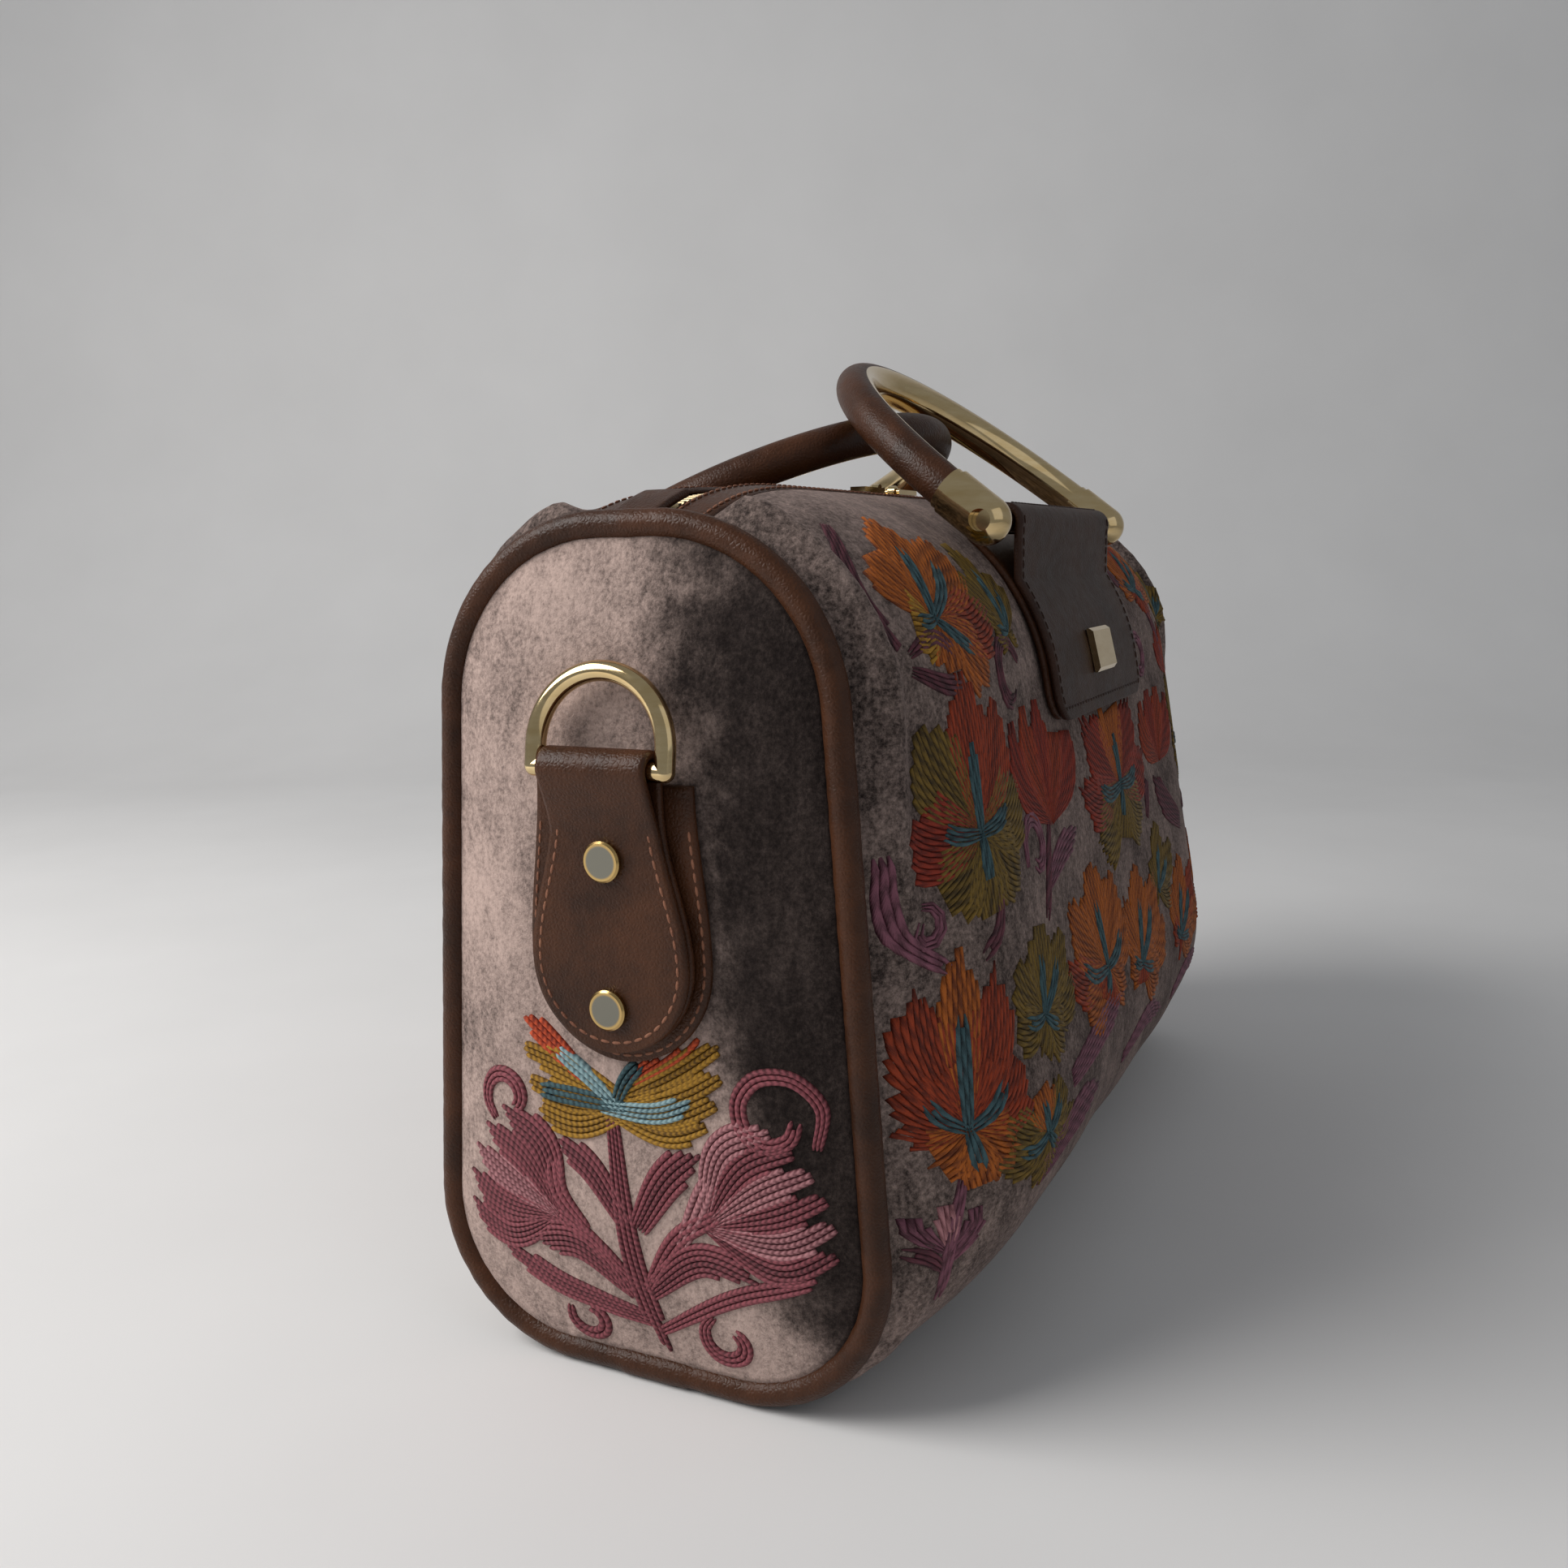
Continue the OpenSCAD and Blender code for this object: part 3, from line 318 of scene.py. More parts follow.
def soft_lamp(name, place, aim, size, watts, tint):
    """Square area lamp at a place in metres, turned to look at the aim."""
    data = bpy.data.lights.new(name, "AREA")
    data.size = size
    data.energy = watts
    data.color = tint
    lamp = bpy.data.objects.new(name, data)
    back = unit(np.array(place, float) - np.array(aim, float))
    x = unit(np.cross([0, 0, 1], back))
    lamp.matrix_world = placed(x, np.cross(back, x), back, place)
    bpy.context.scene.collection.objects.link(lamp)


floor = floor_sweep()
pale = Finish("pale_floor", Roughness=0.9)
pale.set({"Base Color": pale.blend(pale.noise(6.0), "dddcdb", "e8e7e6")})
floor.data.materials.append(pale.material)
soft_lamp("window", (-0.75, 0.85, 0.95), (-0.05, 0, 0.1), 0.9, 19, (1.0, 0.98, 0.96))
soft_lamp("front_fill", (-0.4, -1.3, 0.8), (0, 0, 0.1), 1.2, 1.5, (0.97, 0.98, 1.0))
world = bpy.data.worlds.new("studio")
bpy.context.scene.world = world
world.use_nodes = True
world.node_tree.nodes["Background"].inputs["Color"].default_value = (0.75, 0.78, 0.82, 1)
world.node_tree.nodes["Background"].inputs["Strength"].default_value = 0.33
bpy.context.scene.view_settings.view_transform = "Standard"
print("floor and two lamps")

# %% [markdown]
# The finishes. Velvet is dark at the root of its pile and pale where the pile lies over, so its colour
# wanders in soft clouds and its sheen lights the turned edges. A flat colour with sheen alone would look
# like felt. On each end one half is also painted pale as painted light, and the other dark as painted shade.

# %% Velvet


def velvet_finish(name, painted_light_side=0.0):
    """Velvet: clouds of brushed pile from dark to pale, over a fine tufted bump.
    On an end, the half of the panel on the side of y given by the sign in the last argument is painted pale,
    as painted light, and the other half dark, as painted shade:
    the border leans from the middle of the panel to its lower corner."""
    f = Finish(name, Roughness=0.92, Specular_IOR_Level=0.12,
               Sheen_Weight=0.3, Sheen_Roughness=0.4, Sheen_Tint=colour("d8c0b8"))
    clouds = f.noise(30, 4, 0.6)
    marks = f.noise(1.0, 3, 0.6, f.stretched((230, 230, 110)))
    tufts = f.noise(750, 3, 0.8)
    light = (clouds - 0.5) * 0.95 + (marks - 0.5) * 0.6 + (tufts - 0.5) * 1.3
    # painted light and shade on the ends: one half of the panel is painted pale, the other half dark
    if painted_light_side:
        _, y, z = f.axes()
        low = (0.12 - z).math("MAXIMUM", 0.0)
        lit = (y * painted_light_side + low * 0.25 + 0.019 + (clouds - 0.5) * 0.04).clip(-0.014, 0.014)
        light = light * (lit * 0.7 + 0.3) + lit * 0.62 + 0.03
    else:
        # the sides get one even, darker tone: the velvet's own tone, darkened a little as painted shade
        light = light * 0.8 + 0.26
    f.set({"Base Color": f.blend(light.clip(-0.1, 1.1), "181211", "c2aaa0")})
    f.bump(tufts * 0.8 + marks * 0.4, 0.5, 0.0008)
    return f.material


side_velvet = velvet_finish("side_velvet")
left_velvet = velvet_finish("left_velvet", 1.0)
right_velvet = velvet_finish("right_velvet", -1.0)
print("velvet finishes")

# %% [markdown]
# Leather gets a pebble grain and a slight change of gloss. The metal is plated: pale gold with faint wiping
# marks. The rivets' two metals are told apart by distance from their axes, which needs no second mesh.

# %% Leather, metal, zip and cloth
RIVETS, RIVET_DISC, RIVET_RIM = (0.14, 0.104), 0.0036, 0.0042


def leather_finish(name, dark, light, gloss=0.42):
    """Leather: pebbles from a cell pattern, creases from noise, gloss that follows the creases."""
    f = Finish(name, Specular_IOR_Level=0.24)
    pebble = f.node("ShaderNodeTexVoronoi", {"feature": "DISTANCE_TO_EDGE"},
                    {"Vector": f.place(), "Scale": 900})
    crease = f.noise(260, 4, 0.6)
    worn = f.noise(40, 3, 0.6)
    f.set({"Base Color": f.blend((worn * 0.7 + crease * 0.3).clip(0.25, 0.75), dark, light),
           "Roughness": (crease - 0.5) * 0.25 + gloss})
    f.bump(pebble.clip(0.0, 0.35) * 0.6 + crease, 0.28, 0.0005)
    return f.material


def metal_finish(name, base, gloss):
    """Plated metal: gloss and tint wander a little with wiping marks."""
    f = Finish(name, Metallic=1.0)
    wipe = f.noise(1.0, 3, 0.6, f.stretched((90, 90, 400)))
    f.set({"Base Color": f.blend(wipe, base, "e8d3a8"), "Roughness": (wipe - 0.4) * 0.16 + gloss})
    f.bump(f.noise(60, 2), 0.03, 0.001)
    return f.material


def rivet_finish():
    """Rivet caps: a grey disc inside a gold rim, by the distance from the nearer of the two rivets' axes."""
    f = Finish("rivet_cap", Metallic=1.0, Roughness=0.2)
    _, y, z = f.axes()
    above, below = z - RIVETS[0], z - RIVETS[1]
    apart = y * y + (above * above).math("MINIMUM", below * below)
    rim = apart.math("SQRT").clip(RIVET_DISC, RIVET_RIM)
    f.set({"Base Color": f.blend(rim, "7c7a70", "c2a36a")})
    return f.material


def weave_finish(name, dark, light, pitch):
    """Plain woven cloth: two crossed waves, pitch in metres."""
    f = Finish(name, Roughness=0.85)
    x, y, _ = f.axes()
    turn = 2 * math.pi / pitch
    cloth = (x * turn).math("SINE") * (y * turn).math("SINE")
    f.set({"Base Color": f.blend(cloth.clip(-1, 1), dark, light)})
    f.bump(cloth, 0.5, 0.0003)
    return f.material


leather = leather_finish("brown_leather", "2c180c", "4e2d19")
tab_leather = leather_finish("tab_leather", "26140b", "3c2214", 0.5)
thread_brown = leather_finish("brown_thread", "6a4130", "94664f", 0.7)
gold = metal_finish("pale_gold", "c2a36a", 0.1)
rivet_metal = rivet_finish()
zip_cloth = weave_finish("zip_cloth", "0d0c0c", "25211f", 0.0012)
zip_metal = metal_finish("zip_teeth", "5a4a34", 0.4)
lining_cloth = weave_finish("lining_cloth", "8d7f6d", "b9aa98", 0.0015)
board = weave_finish("board_cloth", "4f4740", "6b6258", 0.003)
print("leather, metal and cloth finishes")

# %% [markdown]
# The velvet side is one curved sheet. Across the bag it is an arc at the belly, a straight side that leans
# in, and an arc at the shoulder; along the bag all of these swell from the piping to the middle.
# A cloth simulation would only puff this shape, which is known exactly, so the sheet is worked out as
# a function of two numbers, and the puckers that the seams pull into it are added as small waves.

# %% The side's formula
SKIN_END, CROWN_FLAT = 159.3, 92.0
SEAM_Y, SEAM_Z = 44.018, 4.216
FACING_Y = 19.2
ARC_MID = 268.45
# SHEET is how thick the velvet and the leather are
SHEET = 2.2
FRONT_SEED, BACK_SEED, LEFT_SEED, RIGHT_SEED = 3, 4, 10, 12
# Each pair is the size at the piping and the size in the middle of the bag
BELLY_R, BELLY_Y = (38.5, 60.0), (63.0, 87.5)
TOP_R, TOP_Y, CROWN_Z = (46.6, 66.0), (54.4, 70.0), (219.0, 229.0)


def fullness(x):
    """1 over the straight middle, less the cube of the way to the piping."""
    return 1 - np.maximum(0, (np.abs(x) - CROWN_FLAT) / (SKIN_END - CROWN_FLAT)) ** 3


def side_section(x):
    """Centres and radii of the belly and shoulder arcs at x, the angles where they start and meet,
    and the length of the straight run between them."""
    t = fullness(x)
    low_r, high_r = mixed(*BELLY_R, t), mixed(*TOP_R, t)
    low_y = mixed(*BELLY_Y, t) - low_r
    low_z = SEAM_Z + np.sqrt(low_r ** 2 - (SEAM_Y - low_y) ** 2)
    high_y, high_z = mixed(*TOP_Y, t) - high_r, mixed(*CROWN_Z, t) - high_r
    apart = np.hypot(high_y - low_y, high_z - low_z)
    touch = np.arctan2(high_z - low_z, high_y - low_y) - np.arccos((low_r - high_r) / apart)
    start = np.arctan2(SEAM_Z - low_z, SEAM_Y - low_y)
    run = np.sqrt(apart ** 2 - (low_r - high_r) ** 2)
    return low_y, low_z, low_r, high_y, high_z, high_r, start, touch, run


def side_point(x, v, off=0.0):
    """Point of the +Y side at x and at the share v of the way from base seam to zip facing,
    moved out by off: belly arc, then straight run, then shoulder arc, by length."""
    x, v, off = np.broadcast_arrays(np.asarray(x, float), np.asarray(v, float), np.asarray(off, float))
    ly, lz, lr, hy, hz, hr, start, touch, run = side_section(x)
    low_len = lr * (touch - start)
    high_len = hr * (np.arccos((FACING_Y - hy) / hr) - touch)
    s = v * (low_len + run + high_len)
    low_turn = start + np.minimum(s, low_len) / lr
    high_turn = touch + np.maximum(s - low_len - run, 0) / hr
    k = np.clip((s - low_len) / run, 0, 1)
    turn = np.where(s <= low_len, low_turn, high_turn)
    radius = mixed(lr, hr, k) + off
    y, z = mixed(ly, hy, k) + radius * np.cos(turn), mixed(lz, hz, k) + radius * np.sin(turn)
    return np.stack([x, y, z], -1)


def bump_waves(a, b, seed, waves=14, low=0.03, high=0.12):
    """Sum of sine waves in two lengths, with seeded directions and phases, about 1 high."""
    rng = np.random.default_rng(seed)
    angles, rates = rng.uniform(0, np.pi, waves), rng.uniform(low, high, waves)
    total = np.zeros(np.broadcast(a, b).shape)
    for angle, rate, phase in zip(angles, rates, rng.uniform(0, 6.28, waves)):
        total += np.sin(rate * (a * np.cos(angle) + b * np.sin(angle)) + phase)
    return total / np.sqrt(waves)


def side_swell(x, v, seed):
    """Small waves of the stuffed sheet, with puckers along the piping and the base seam, and a soft roll
    beside the piping that is fullest at the shoulder."""
    s = v * ARC_MID
    to_end, to_seam = SKIN_END - np.abs(x), np.minimum(s, ARC_MID - s)
    puckers = np.sin(0.62 * s + 2 * np.sin(0.11 * s)) * np.exp(-to_end / 7) * np.minimum(to_end / 3, 1)
    hem = np.sin(0.5 * x + 2 * np.sin(0.07 * x)) * np.exp(-s / 8) * np.minimum(s / 4, 1)
    edge = (np.minimum(to_end, to_seam) / 12).clip(0, 1)
    full = mixed(1.2, 6.0, np.clip((v - 0.45) / 0.3, 0, 1)) * np.clip(to_seam / 6, 0, 1)
    roll = full * np.exp(-((to_end - 7) / 5) ** 2) * np.clip(to_end / 4, 0, 1)
    return 0.35 * puckers + 0.3 * hem + 0.45 * edge * bump_waves(x, s, seed) + roll


def velvet_side(name, front, seed):
    """Velvet side as a slab: the formula's skin moved out by the swell, with a plain inner face."""
    end = np.sin(np.linspace(-np.pi / 2, np.pi / 2, 141))
    along = np.sign(end) * np.abs(end) ** 0.85 * SKIN_END
    x, v = np.meshgrid(along, np.linspace(0, 1, 101), indexing="ij")
    flip = np.array([1, -1 if front else 1, 1])
    return slab(name, side_point(x, v, side_swell(x, v, seed)) * flip, side_point(x, v, -SHEET) * flip)


for who, seed in (("front", FRONT_SEED), ("back", BACK_SEED)):
    piece = dress(velvet_side(who + "_velvet", who == "front", seed), side_velvet, "velvet", who + "_panel")
    print(piece.name, len(piece.data.polygons), "faces")

# %% [markdown]
# The two ends are padded domes inside the piping. Polar rings about a point under the ring strap carry
# the dome, so the puckers beside the piping are waves along each ring, as the real seam pulls them.

# %% The domed ends
LOW_C, LOW_R = np.array([24.5, 41.2]), 37.5
HIGH_C, HIGH_R = np.array([7.8, 172.4]), 45.6
PIPING_X, PIPING_R = 163.0, 3.5
END_FACE, DOME, DOME_MID = 171.5, 7.0, 120.0
RISE = HIGH_C - LOW_C
END_TURN = math.atan2(RISE[1], RISE[0]) - math.acos((LOW_R - HIGH_R) / np.linalg.norm(RISE))


def end_outline(inset, steps=60):
    """Outline of an end, set in from the piping's centre line: two arcs on each side, joined by straights."""
    low = LOW_C + (LOW_R - inset) * ray(np.linspace(-np.pi / 2, END_TURN, steps))
    high = HIGH_C + (HIGH_R - inset) * ray(np.linspace(END_TURN, np.pi / 2, steps))
    half = np.concatenate([low, high])
    return np.concatenate([half, half[::-1] * [-1, 1]])


RIM = spaced(end_outline(PIPING_R - 0.6), 720)
RIM_ANGLE = np.arctan2(RIM[:, 1] - DOME_MID, RIM[:, 0])
RIM_SPAN = np.hypot(RIM[:, 0], RIM[:, 1] - DOME_MID)


def dome_share(y, z):
    """Share of the way from the dome's middle to its rim."""
    reach = np.interp(np.arctan2(z - DOME_MID, y), RIM_ANGLE, RIM_SPAN, period=2 * np.pi)
    return np.hypot(y, z - DOME_MID) / reach


def dome_x(y, z):
    """Distance of the dome from the bag's middle: flat to half way out, then falling as a square."""
    return END_FACE - DOME * np.maximum(0, (dome_share(y, z) - 0.5) / 0.5) ** 2


def end_swell(y, z, seed):
    """Small waves of the padded end, calm under the strap, with puckers beside the piping."""
    share = np.minimum(dome_share(y, z), 1)
    around = np.arctan2(z - DOME_MID, y)
    puckers = np.sin(46 * around + 2 * np.sin(7 * around)) * np.exp((share - 1) * 9) * (1 - share ** 30)
    calm = np.clip((share - 0.45) / 0.3, 0, 1) * np.clip((1 - share) / 0.1, 0, 1)
    return 0.3 * puckers + 0.35 * calm * bump_waves(y, z, seed)


def velvet_end(name, side, seed):
    """Domed end as a slab of polar rings: the dome moved out by the swell, with a plain inner face."""
    rim = spaced(RIM, 260)
    rim = np.concatenate([rim, rim[:1]])
    rings = (np.linspace(0, 1, 50) ** 0.8)[:, None]
    y, z = rings * rim[:, 0], DOME_MID + rings * (rim[:, 1] - DOME_MID)
    outer, inner = dome_x(y, z) + end_swell(y, z, seed), dome_x(y, z) - SHEET
    return slab(name, np.stack([side * outer, y, z], -1), np.stack([side * inner, y, z], -1))


END_VELVETS = ("left", -1, left_velvet, LEFT_SEED), ("right", 1, right_velvet, RIGHT_SEED)
for who, side, finish, seed in END_VELVETS:
    piece = dress(velvet_end(who + "_end_velvet", side, seed), finish, "velvet", who + "_end_panel")
    print(piece.name, len(piece.data.polygons), "faces")

# %% [markdown]
# The piping is a cord wrapped in leather. A curve with a bevel would do, but a tube worked out as a grid
# can also have the lapped joint under the bag, where one end of the wrapping covers the other.

# %% Piping
ENDS = ("left", -1), ("right", 1)


def ring_tube(name, path, radius, up, sides):
    """Closed round tube: at each point of the path a circle across it, in the plane of up and the side."""
    tangent = unit(np.roll(path, -1, 0) - np.roll(path, 1, 0))
    across = unit(np.cross(tangent, np.broadcast_to(up, path.shape)))
    over = np.cross(across, tangent)
    turn = ray(np.linspace(0, 2 * np.pi, sides, endpoint=False))
    ring = across[:, None] * turn[:, :1] + over[:, None] * turn[:, 1:]
    points = path[:, None] + radius[:, None, None] * ring
    return closed_up(to_mesh(name, points.reshape(-1, 3), grid_faces(len(path), sides, True, True)))


def piping(name, side):
    """Cord along the end outline, 0.3 mm thicker where the wrapping laps under the bag."""
    count = 520
    line = spaced(end_outline(0.0), count)
    low = line[:, 1] < 6
    lap = low * np.clip((9 - line[:, 0]) / 0.6, 0, 1) * np.clip((line[:, 0] + 10) / 0.6, 0, 1)
    creases = 0.05 * bump_waves(np.arange(count) * 1.1, 0, 5, 10, 0.5, 1.6)
    path = np.concatenate([np.full((count, 1), side * PIPING_X), line], 1)
    return ring_tube(name, path, PIPING_R + 0.3 * lap + creases, ALONG, 18)


for who, side in ENDS:
    piece = dress(piping(who + "_cord", side), leather, "leather", who + "_piping")
    print(piece.name, len(piece.data.polygons), "faces")

# %% [markdown]
# Straps, tabs and zip facings are leather bands: a flat section with rounded edges carried along a path,
# wide or narrow as the outline asks. Stitches are short beads of thread set along the same outline.

# %% Bands and stitches
BAND_EDGE = 0.7
STITCH_PITCH, STITCH_LENGTH, STITCH_THICK = 3.2, 2.4, 0.46
BEAD_RINGS, BEAD_SIDES = ((-1, 0.25), (-0.7, 0.8), (0, 1), (0.7, 0.8), (1, 0.25)), 6


def band(name, path, normal, side, half, across):
    """Leather band: at each point of the path a rounded flat section, half wide and SHEET thick,
    with its width along side and its thickness along normal. across is the number of points over it."""
    n = len(path)
    half = np.broadcast_to(half, n)[:, None]
    lane = np.linspace(-1, 1, across)
    lane = np.sign(lane) * (1 - (1 - np.abs(lane)) ** 1.6)
    inside = half - np.abs(lane) * half
    round_off = np.minimum(BAND_EDGE, np.maximum(half, 1e-6))
    fall = SHEET / 2 * np.sqrt(np.clip(1 - (1 - np.minimum(inside / round_off, 1)) ** 2, 0, 1))
    middle = path[:, None] + (lane * half)[..., None] * np.broadcast_to(side, (n, 3))[:, None]
    up = fall[..., None] * np.broadcast_to(normal, (n, 3))[:, None]
    return slab(name, middle + up, middle - up)


def bead():
    """Points of one bead of thread, 1 in half length and radius, and its quads with both ends closed."""
    round_turn = ray(np.linspace(0, 2 * np.pi, BEAD_SIDES, endpoint=False))
    points = np.array([[a, r * c, r * s] for a, r in BEAD_RINGS for c, s in round_turn])
    cap = np.array([[0, 1, 2, 3], [0, 3, 4, 5]])
    last = (len(BEAD_RINGS) - 1) * BEAD_SIDES
    ring = grid_faces(len(BEAD_RINGS), BEAD_SIDES, False, True)
    return points, np.concatenate([ring[:, ::-1], cap, cap[:, ::-1] + last])


def stitches(name, line, normal):
    """Row of thread beads along a line of points: each bead lies on the surface, along the line."""
    run = run_of(line)
    at = np.arange(STITCH_PITCH / 2, run[-1], STITCH_PITCH)
    along = unit(at_length(line, run, at + 0.5) - at_length(line, run, at - 0.5))
    up = at_length(np.broadcast_to(normal, line.shape), run, at)
    over = np.cross(along, up)
    axes = np.stack([along * STITCH_LENGTH / 2, over * STITCH_THICK, up * STITCH_THICK * 0.7], 1)
    shape, quads = bead()
    points = at_length(line, run, at)[:, None] + shape @ axes
    faces = quads[None] + (np.arange(len(at)) * len(shape))[:, None, None]
    return to_mesh(name, points.reshape(-1, 3), faces.reshape(-1, 4))


print("band and stitch tools ready")

# %% [markdown]
# The handle tabs. One piece of leather runs up from its lower edge, folds over the handle's bar and comes
# down again behind itself. The path is drawn in the bag's section, so the fold, the seam under the bar and
# the rounded lower corners all come from one list of points and one list of widths.

# %% Handle tabs
SHOULDER_R, BAR_OFF, BAR_TURN = TOP_R[1], 11.4, math.radians(46)
SHOULDER = np.array([TOP_Y[1], CROWN_Z[1]]) - SHOULDER_R
BAR = SHOULDER + (SHOULDER_R + BAR_OFF) * ray(BAR_TURN)
SIDE_TURN = float(side_section(np.array(0.0))[7])
TAB_HALF, TAB_LOW, TAB_R = 53.5, 161.0, 10.0
TAB_OFF, TAB_TOP, FOLD_R = 3.7, math.radians(34), 4.4
UNDER_OFF, UNDER_TOP = 1.3, math.radians(50)
THREAD_OFF, THREAD_INSET, EDGE_TOP, SEAM_AT, SEAM_HALF = 1.15, 3.2, 62, 66, 50


def tab_rise(off, top_turn):
    """Line at off from the skin: from the tab's lower edge up the straight side, then round the shoulder."""
    n = ray(SIDE_TURN)
    knee = SHOULDER + (SHOULDER_R + off) * n
    foot = knee + (knee[1] - TAB_LOW) / n[0] * np.array([n[1], -n[0]])
    straight = foot + (knee - foot) * (np.linspace(0, 1, 24) ** 1.6)[:, None]
    arc = SHOULDER + (SHOULDER_R + off) * ray(np.linspace(SIDE_TURN, top_turn, 22))
    return np.concatenate([straight, arc[1:]])


def tab_path():
    """Up the front, round the bar and a short way down behind, with the upper part smoothed."""
    loop = BAR + FOLD_R * ray(BAR_TURN + np.radians(np.linspace(-70, 175, 26)))
    dense = spaced(np.concatenate([tab_rise(TAB_OFF, TAB_TOP), loop]), 150, False)
    for _ in range(3):
        dense[40:-1] = (dense[39:-2] + 2 * dense[40:-1] + dense[41:]) / 4
    return dense


def carried(line, front):
    """Section line (y, z) set at x = 0 as path and normals in space, on the front or the back."""
    flip = np.array([1, -1 if front else 1, 1])
    d = heading(line)
    zero = np.zeros((len(line), 1))
    return np.concatenate([zero, line], 1) * flip, np.concatenate([zero, d[:, 1:], -d[:, :1]], 1) * flip


def tab_half(run):
    """Half width with rounded lower corners, by the distance from the lower edge."""
    drop = np.clip(TAB_R - run, 0, TAB_R)
    return TAB_HALF - TAB_R + np.sqrt(TAB_R ** 2 - drop ** 2)


def handle_tab(who):
    """The folded piece and the layer under it, then stitches along the edge and under the bar."""
    fine, under = spaced(tab_path(), 220, False), spaced(tab_rise(UNDER_OFF, UNDER_TOP), 120, False)
    path, normal = carried(fine, who == "front")
    run = run_of(fine)
    half = tab_half(run)
    dress(band(who + "_tab", path, normal, ALONG, half, 25), tab_leather, "leather", who + "_handle_tab")
    layer = band(who + "_tab_under", *carried(under, who == "front"), ALONG, tab_half(run_of(under)), 25)
    dress(layer, leather, "leather", who + "_tab_backing")
    edge = np.flatnonzero((run > THREAD_INSET) & (run < EDGE_TOP))
    lean = normal[edge]
    face, out = path[edge] + lean * THREAD_OFF, (half[edge] - THREAD_INSET)[:, None] * ALONG
    row = np.concatenate([(face - out)[::-1], face + out])
    dress(stitches(who + "_tab_stitch", row, np.concatenate([lean[::-1], lean])), tab_leather, "leather")
    seam = int(np.argmin(np.abs(run - SEAM_AT)))
    out = np.linspace(-SEAM_HALF, SEAM_HALF, 60)[:, None] * ALONG
    seam_row = path[seam] + normal[seam] * THREAD_OFF + out
    dress(stitches(who + "_seam_stitch", seam_row, normal[seam]), tab_leather, "leather")


for who in ("front", "back"):
    handle_tab(who)
print("handle tabs with stitches")

# %% [markdown]
# The ring strap on each end is also one folded piece: up the outside, round the ring's bar and down inside,
# with a tongue outline on both layers. It lies on a larger patch of the same leather.

# %% Ring straps and patches
RING_X, RING_Z, LOOP_R = 179.1, 162.0, 3.9
STRAP_Z, STRAP_HALF, PATCH_HALF, NECK_HALF = 115.0, 21.8, 25.4, 14.75
NECK_Z, PATCH_TOP, PATCH_TOP_HALF = 152.0, 158.0, 21.75
STRAP_X, STRAP_TOP, LAYER_GAP, TIP_HALF = 177.4, 148, 2.3, 0.05


def tongue_half(z, top_z, top_half, half):
    """Half width of a tongue at a height: eased from its top to its widest, then a round end."""
    t = np.clip((top_z - z) / (top_z - STRAP_Z), 0, 1)
    wide = mixed(top_half, half, t * t * (3 - 2 * t))
    return np.where(z >= STRAP_Z, wide, np.sqrt(np.clip(half ** 2 - (STRAP_Z - z) ** 2, 0, None)))


def tongue_heights(radius, top, low_count, high_count):
    """Heights from a tongue's tip up its round end, close together at the tip, then evenly to the top."""
    rise = STRAP_Z - radius * np.cos(np.linspace(0, np.pi / 2, low_count))
    return np.r_[rise, np.linspace(STRAP_Z, top, high_count)[1:]]


def strap_line():
    """Outer layer from the tip up to the ring, round its bar, and the inner layer down again."""
    z = tongue_heights(STRAP_HALF, STRAP_TOP, 30, 31)
    outer = np.stack([np.full(len(z), STRAP_X), z], 1)
    loop = np.array([RING_X, RING_Z]) + LOOP_R * ray(np.radians(np.linspace(-25, 205, 30)))
    line = np.concatenate([outer, loop, outer[::-1] - [LAYER_GAP, 0]])
    for _ in range(2):
        line[58:92] = (line[57:91] + 2 * line[58:92] + line[59:93]) / 4
    return line


def ring_strap(who, side):
    """The folded strap as one band, and the patch that it lies on."""
    x, z = strap_line().T
    dx, dz = heading(strap_line()).T
    half = np.where(z > NECK_Z, NECK_HALF, tongue_half(z, NECK_Z, NECK_HALF, STRAP_HALF))
    path, normal = np.stack([side * x, 0 * x, z], 1), np.stack([side * dz, 0 * dz, -dx], 1)
    strap = band(who + "_strap", path, normal, ACROSS, np.maximum(half, TIP_HALF), 21)
    dress(strap, leather, "leather", who + "_ring_strap")
    z = tongue_heights(PATCH_HALF, PATCH_TOP, 40, 41)
    half = np.maximum(tongue_half(z, PATCH_TOP, PATCH_TOP_HALF, PATCH_HALF), TIP_HALF)
    path = np.stack([np.full(len(z), side * (END_FACE + 1.3)), 0 * z, z], 1)
    patch = band(who + "_patch", path, side * ALONG, ACROSS, half, 21)
    dress(patch, leather, "leather", who + "_strap_patch")


def tongue_stitches(name, side, x, inset, top_z, top_half, wide):
    """Stitches along a tongue's edge, set in by the inset."""
    z = tongue_heights(wide - inset, STRAP_TOP, 40, 30)
    round_end = np.sqrt(np.clip((wide - inset) ** 2 - (STRAP_Z - z) ** 2, 0, None))
    half = np.where(z >= STRAP_Z, tongue_half(z, top_z, top_half, wide) - inset, round_end)
    loop = np.concatenate([np.stack([half, z], 1)[::-1], np.stack([-half, z], 1)[1:]])
    row = np.concatenate([np.full((len(loop), 1), side * x), loop], 1)
    dress(stitches(name, row, side * ALONG), thread_brown, "leather")


for who, side in ENDS:
    ring_strap(who, side)
    tongue_stitches(who + "_strap_stitch", side, 178.45, 2.6, NECK_Z, NECK_HALF, STRAP_HALF)
    tongue_stitches(who + "_patch_stitch", side, END_FACE + 2.35, 1.7, PATCH_TOP, PATCH_TOP_HALF, PATCH_HALF)
print("ring straps, patches and their stitches")

# %% [markdown]
# The zip lies between two leather facings along the crown. Each facing is a slab that follows the crown's
# own arc; two rows of stitches run along it, and a short leather stop covers each end of the zip.

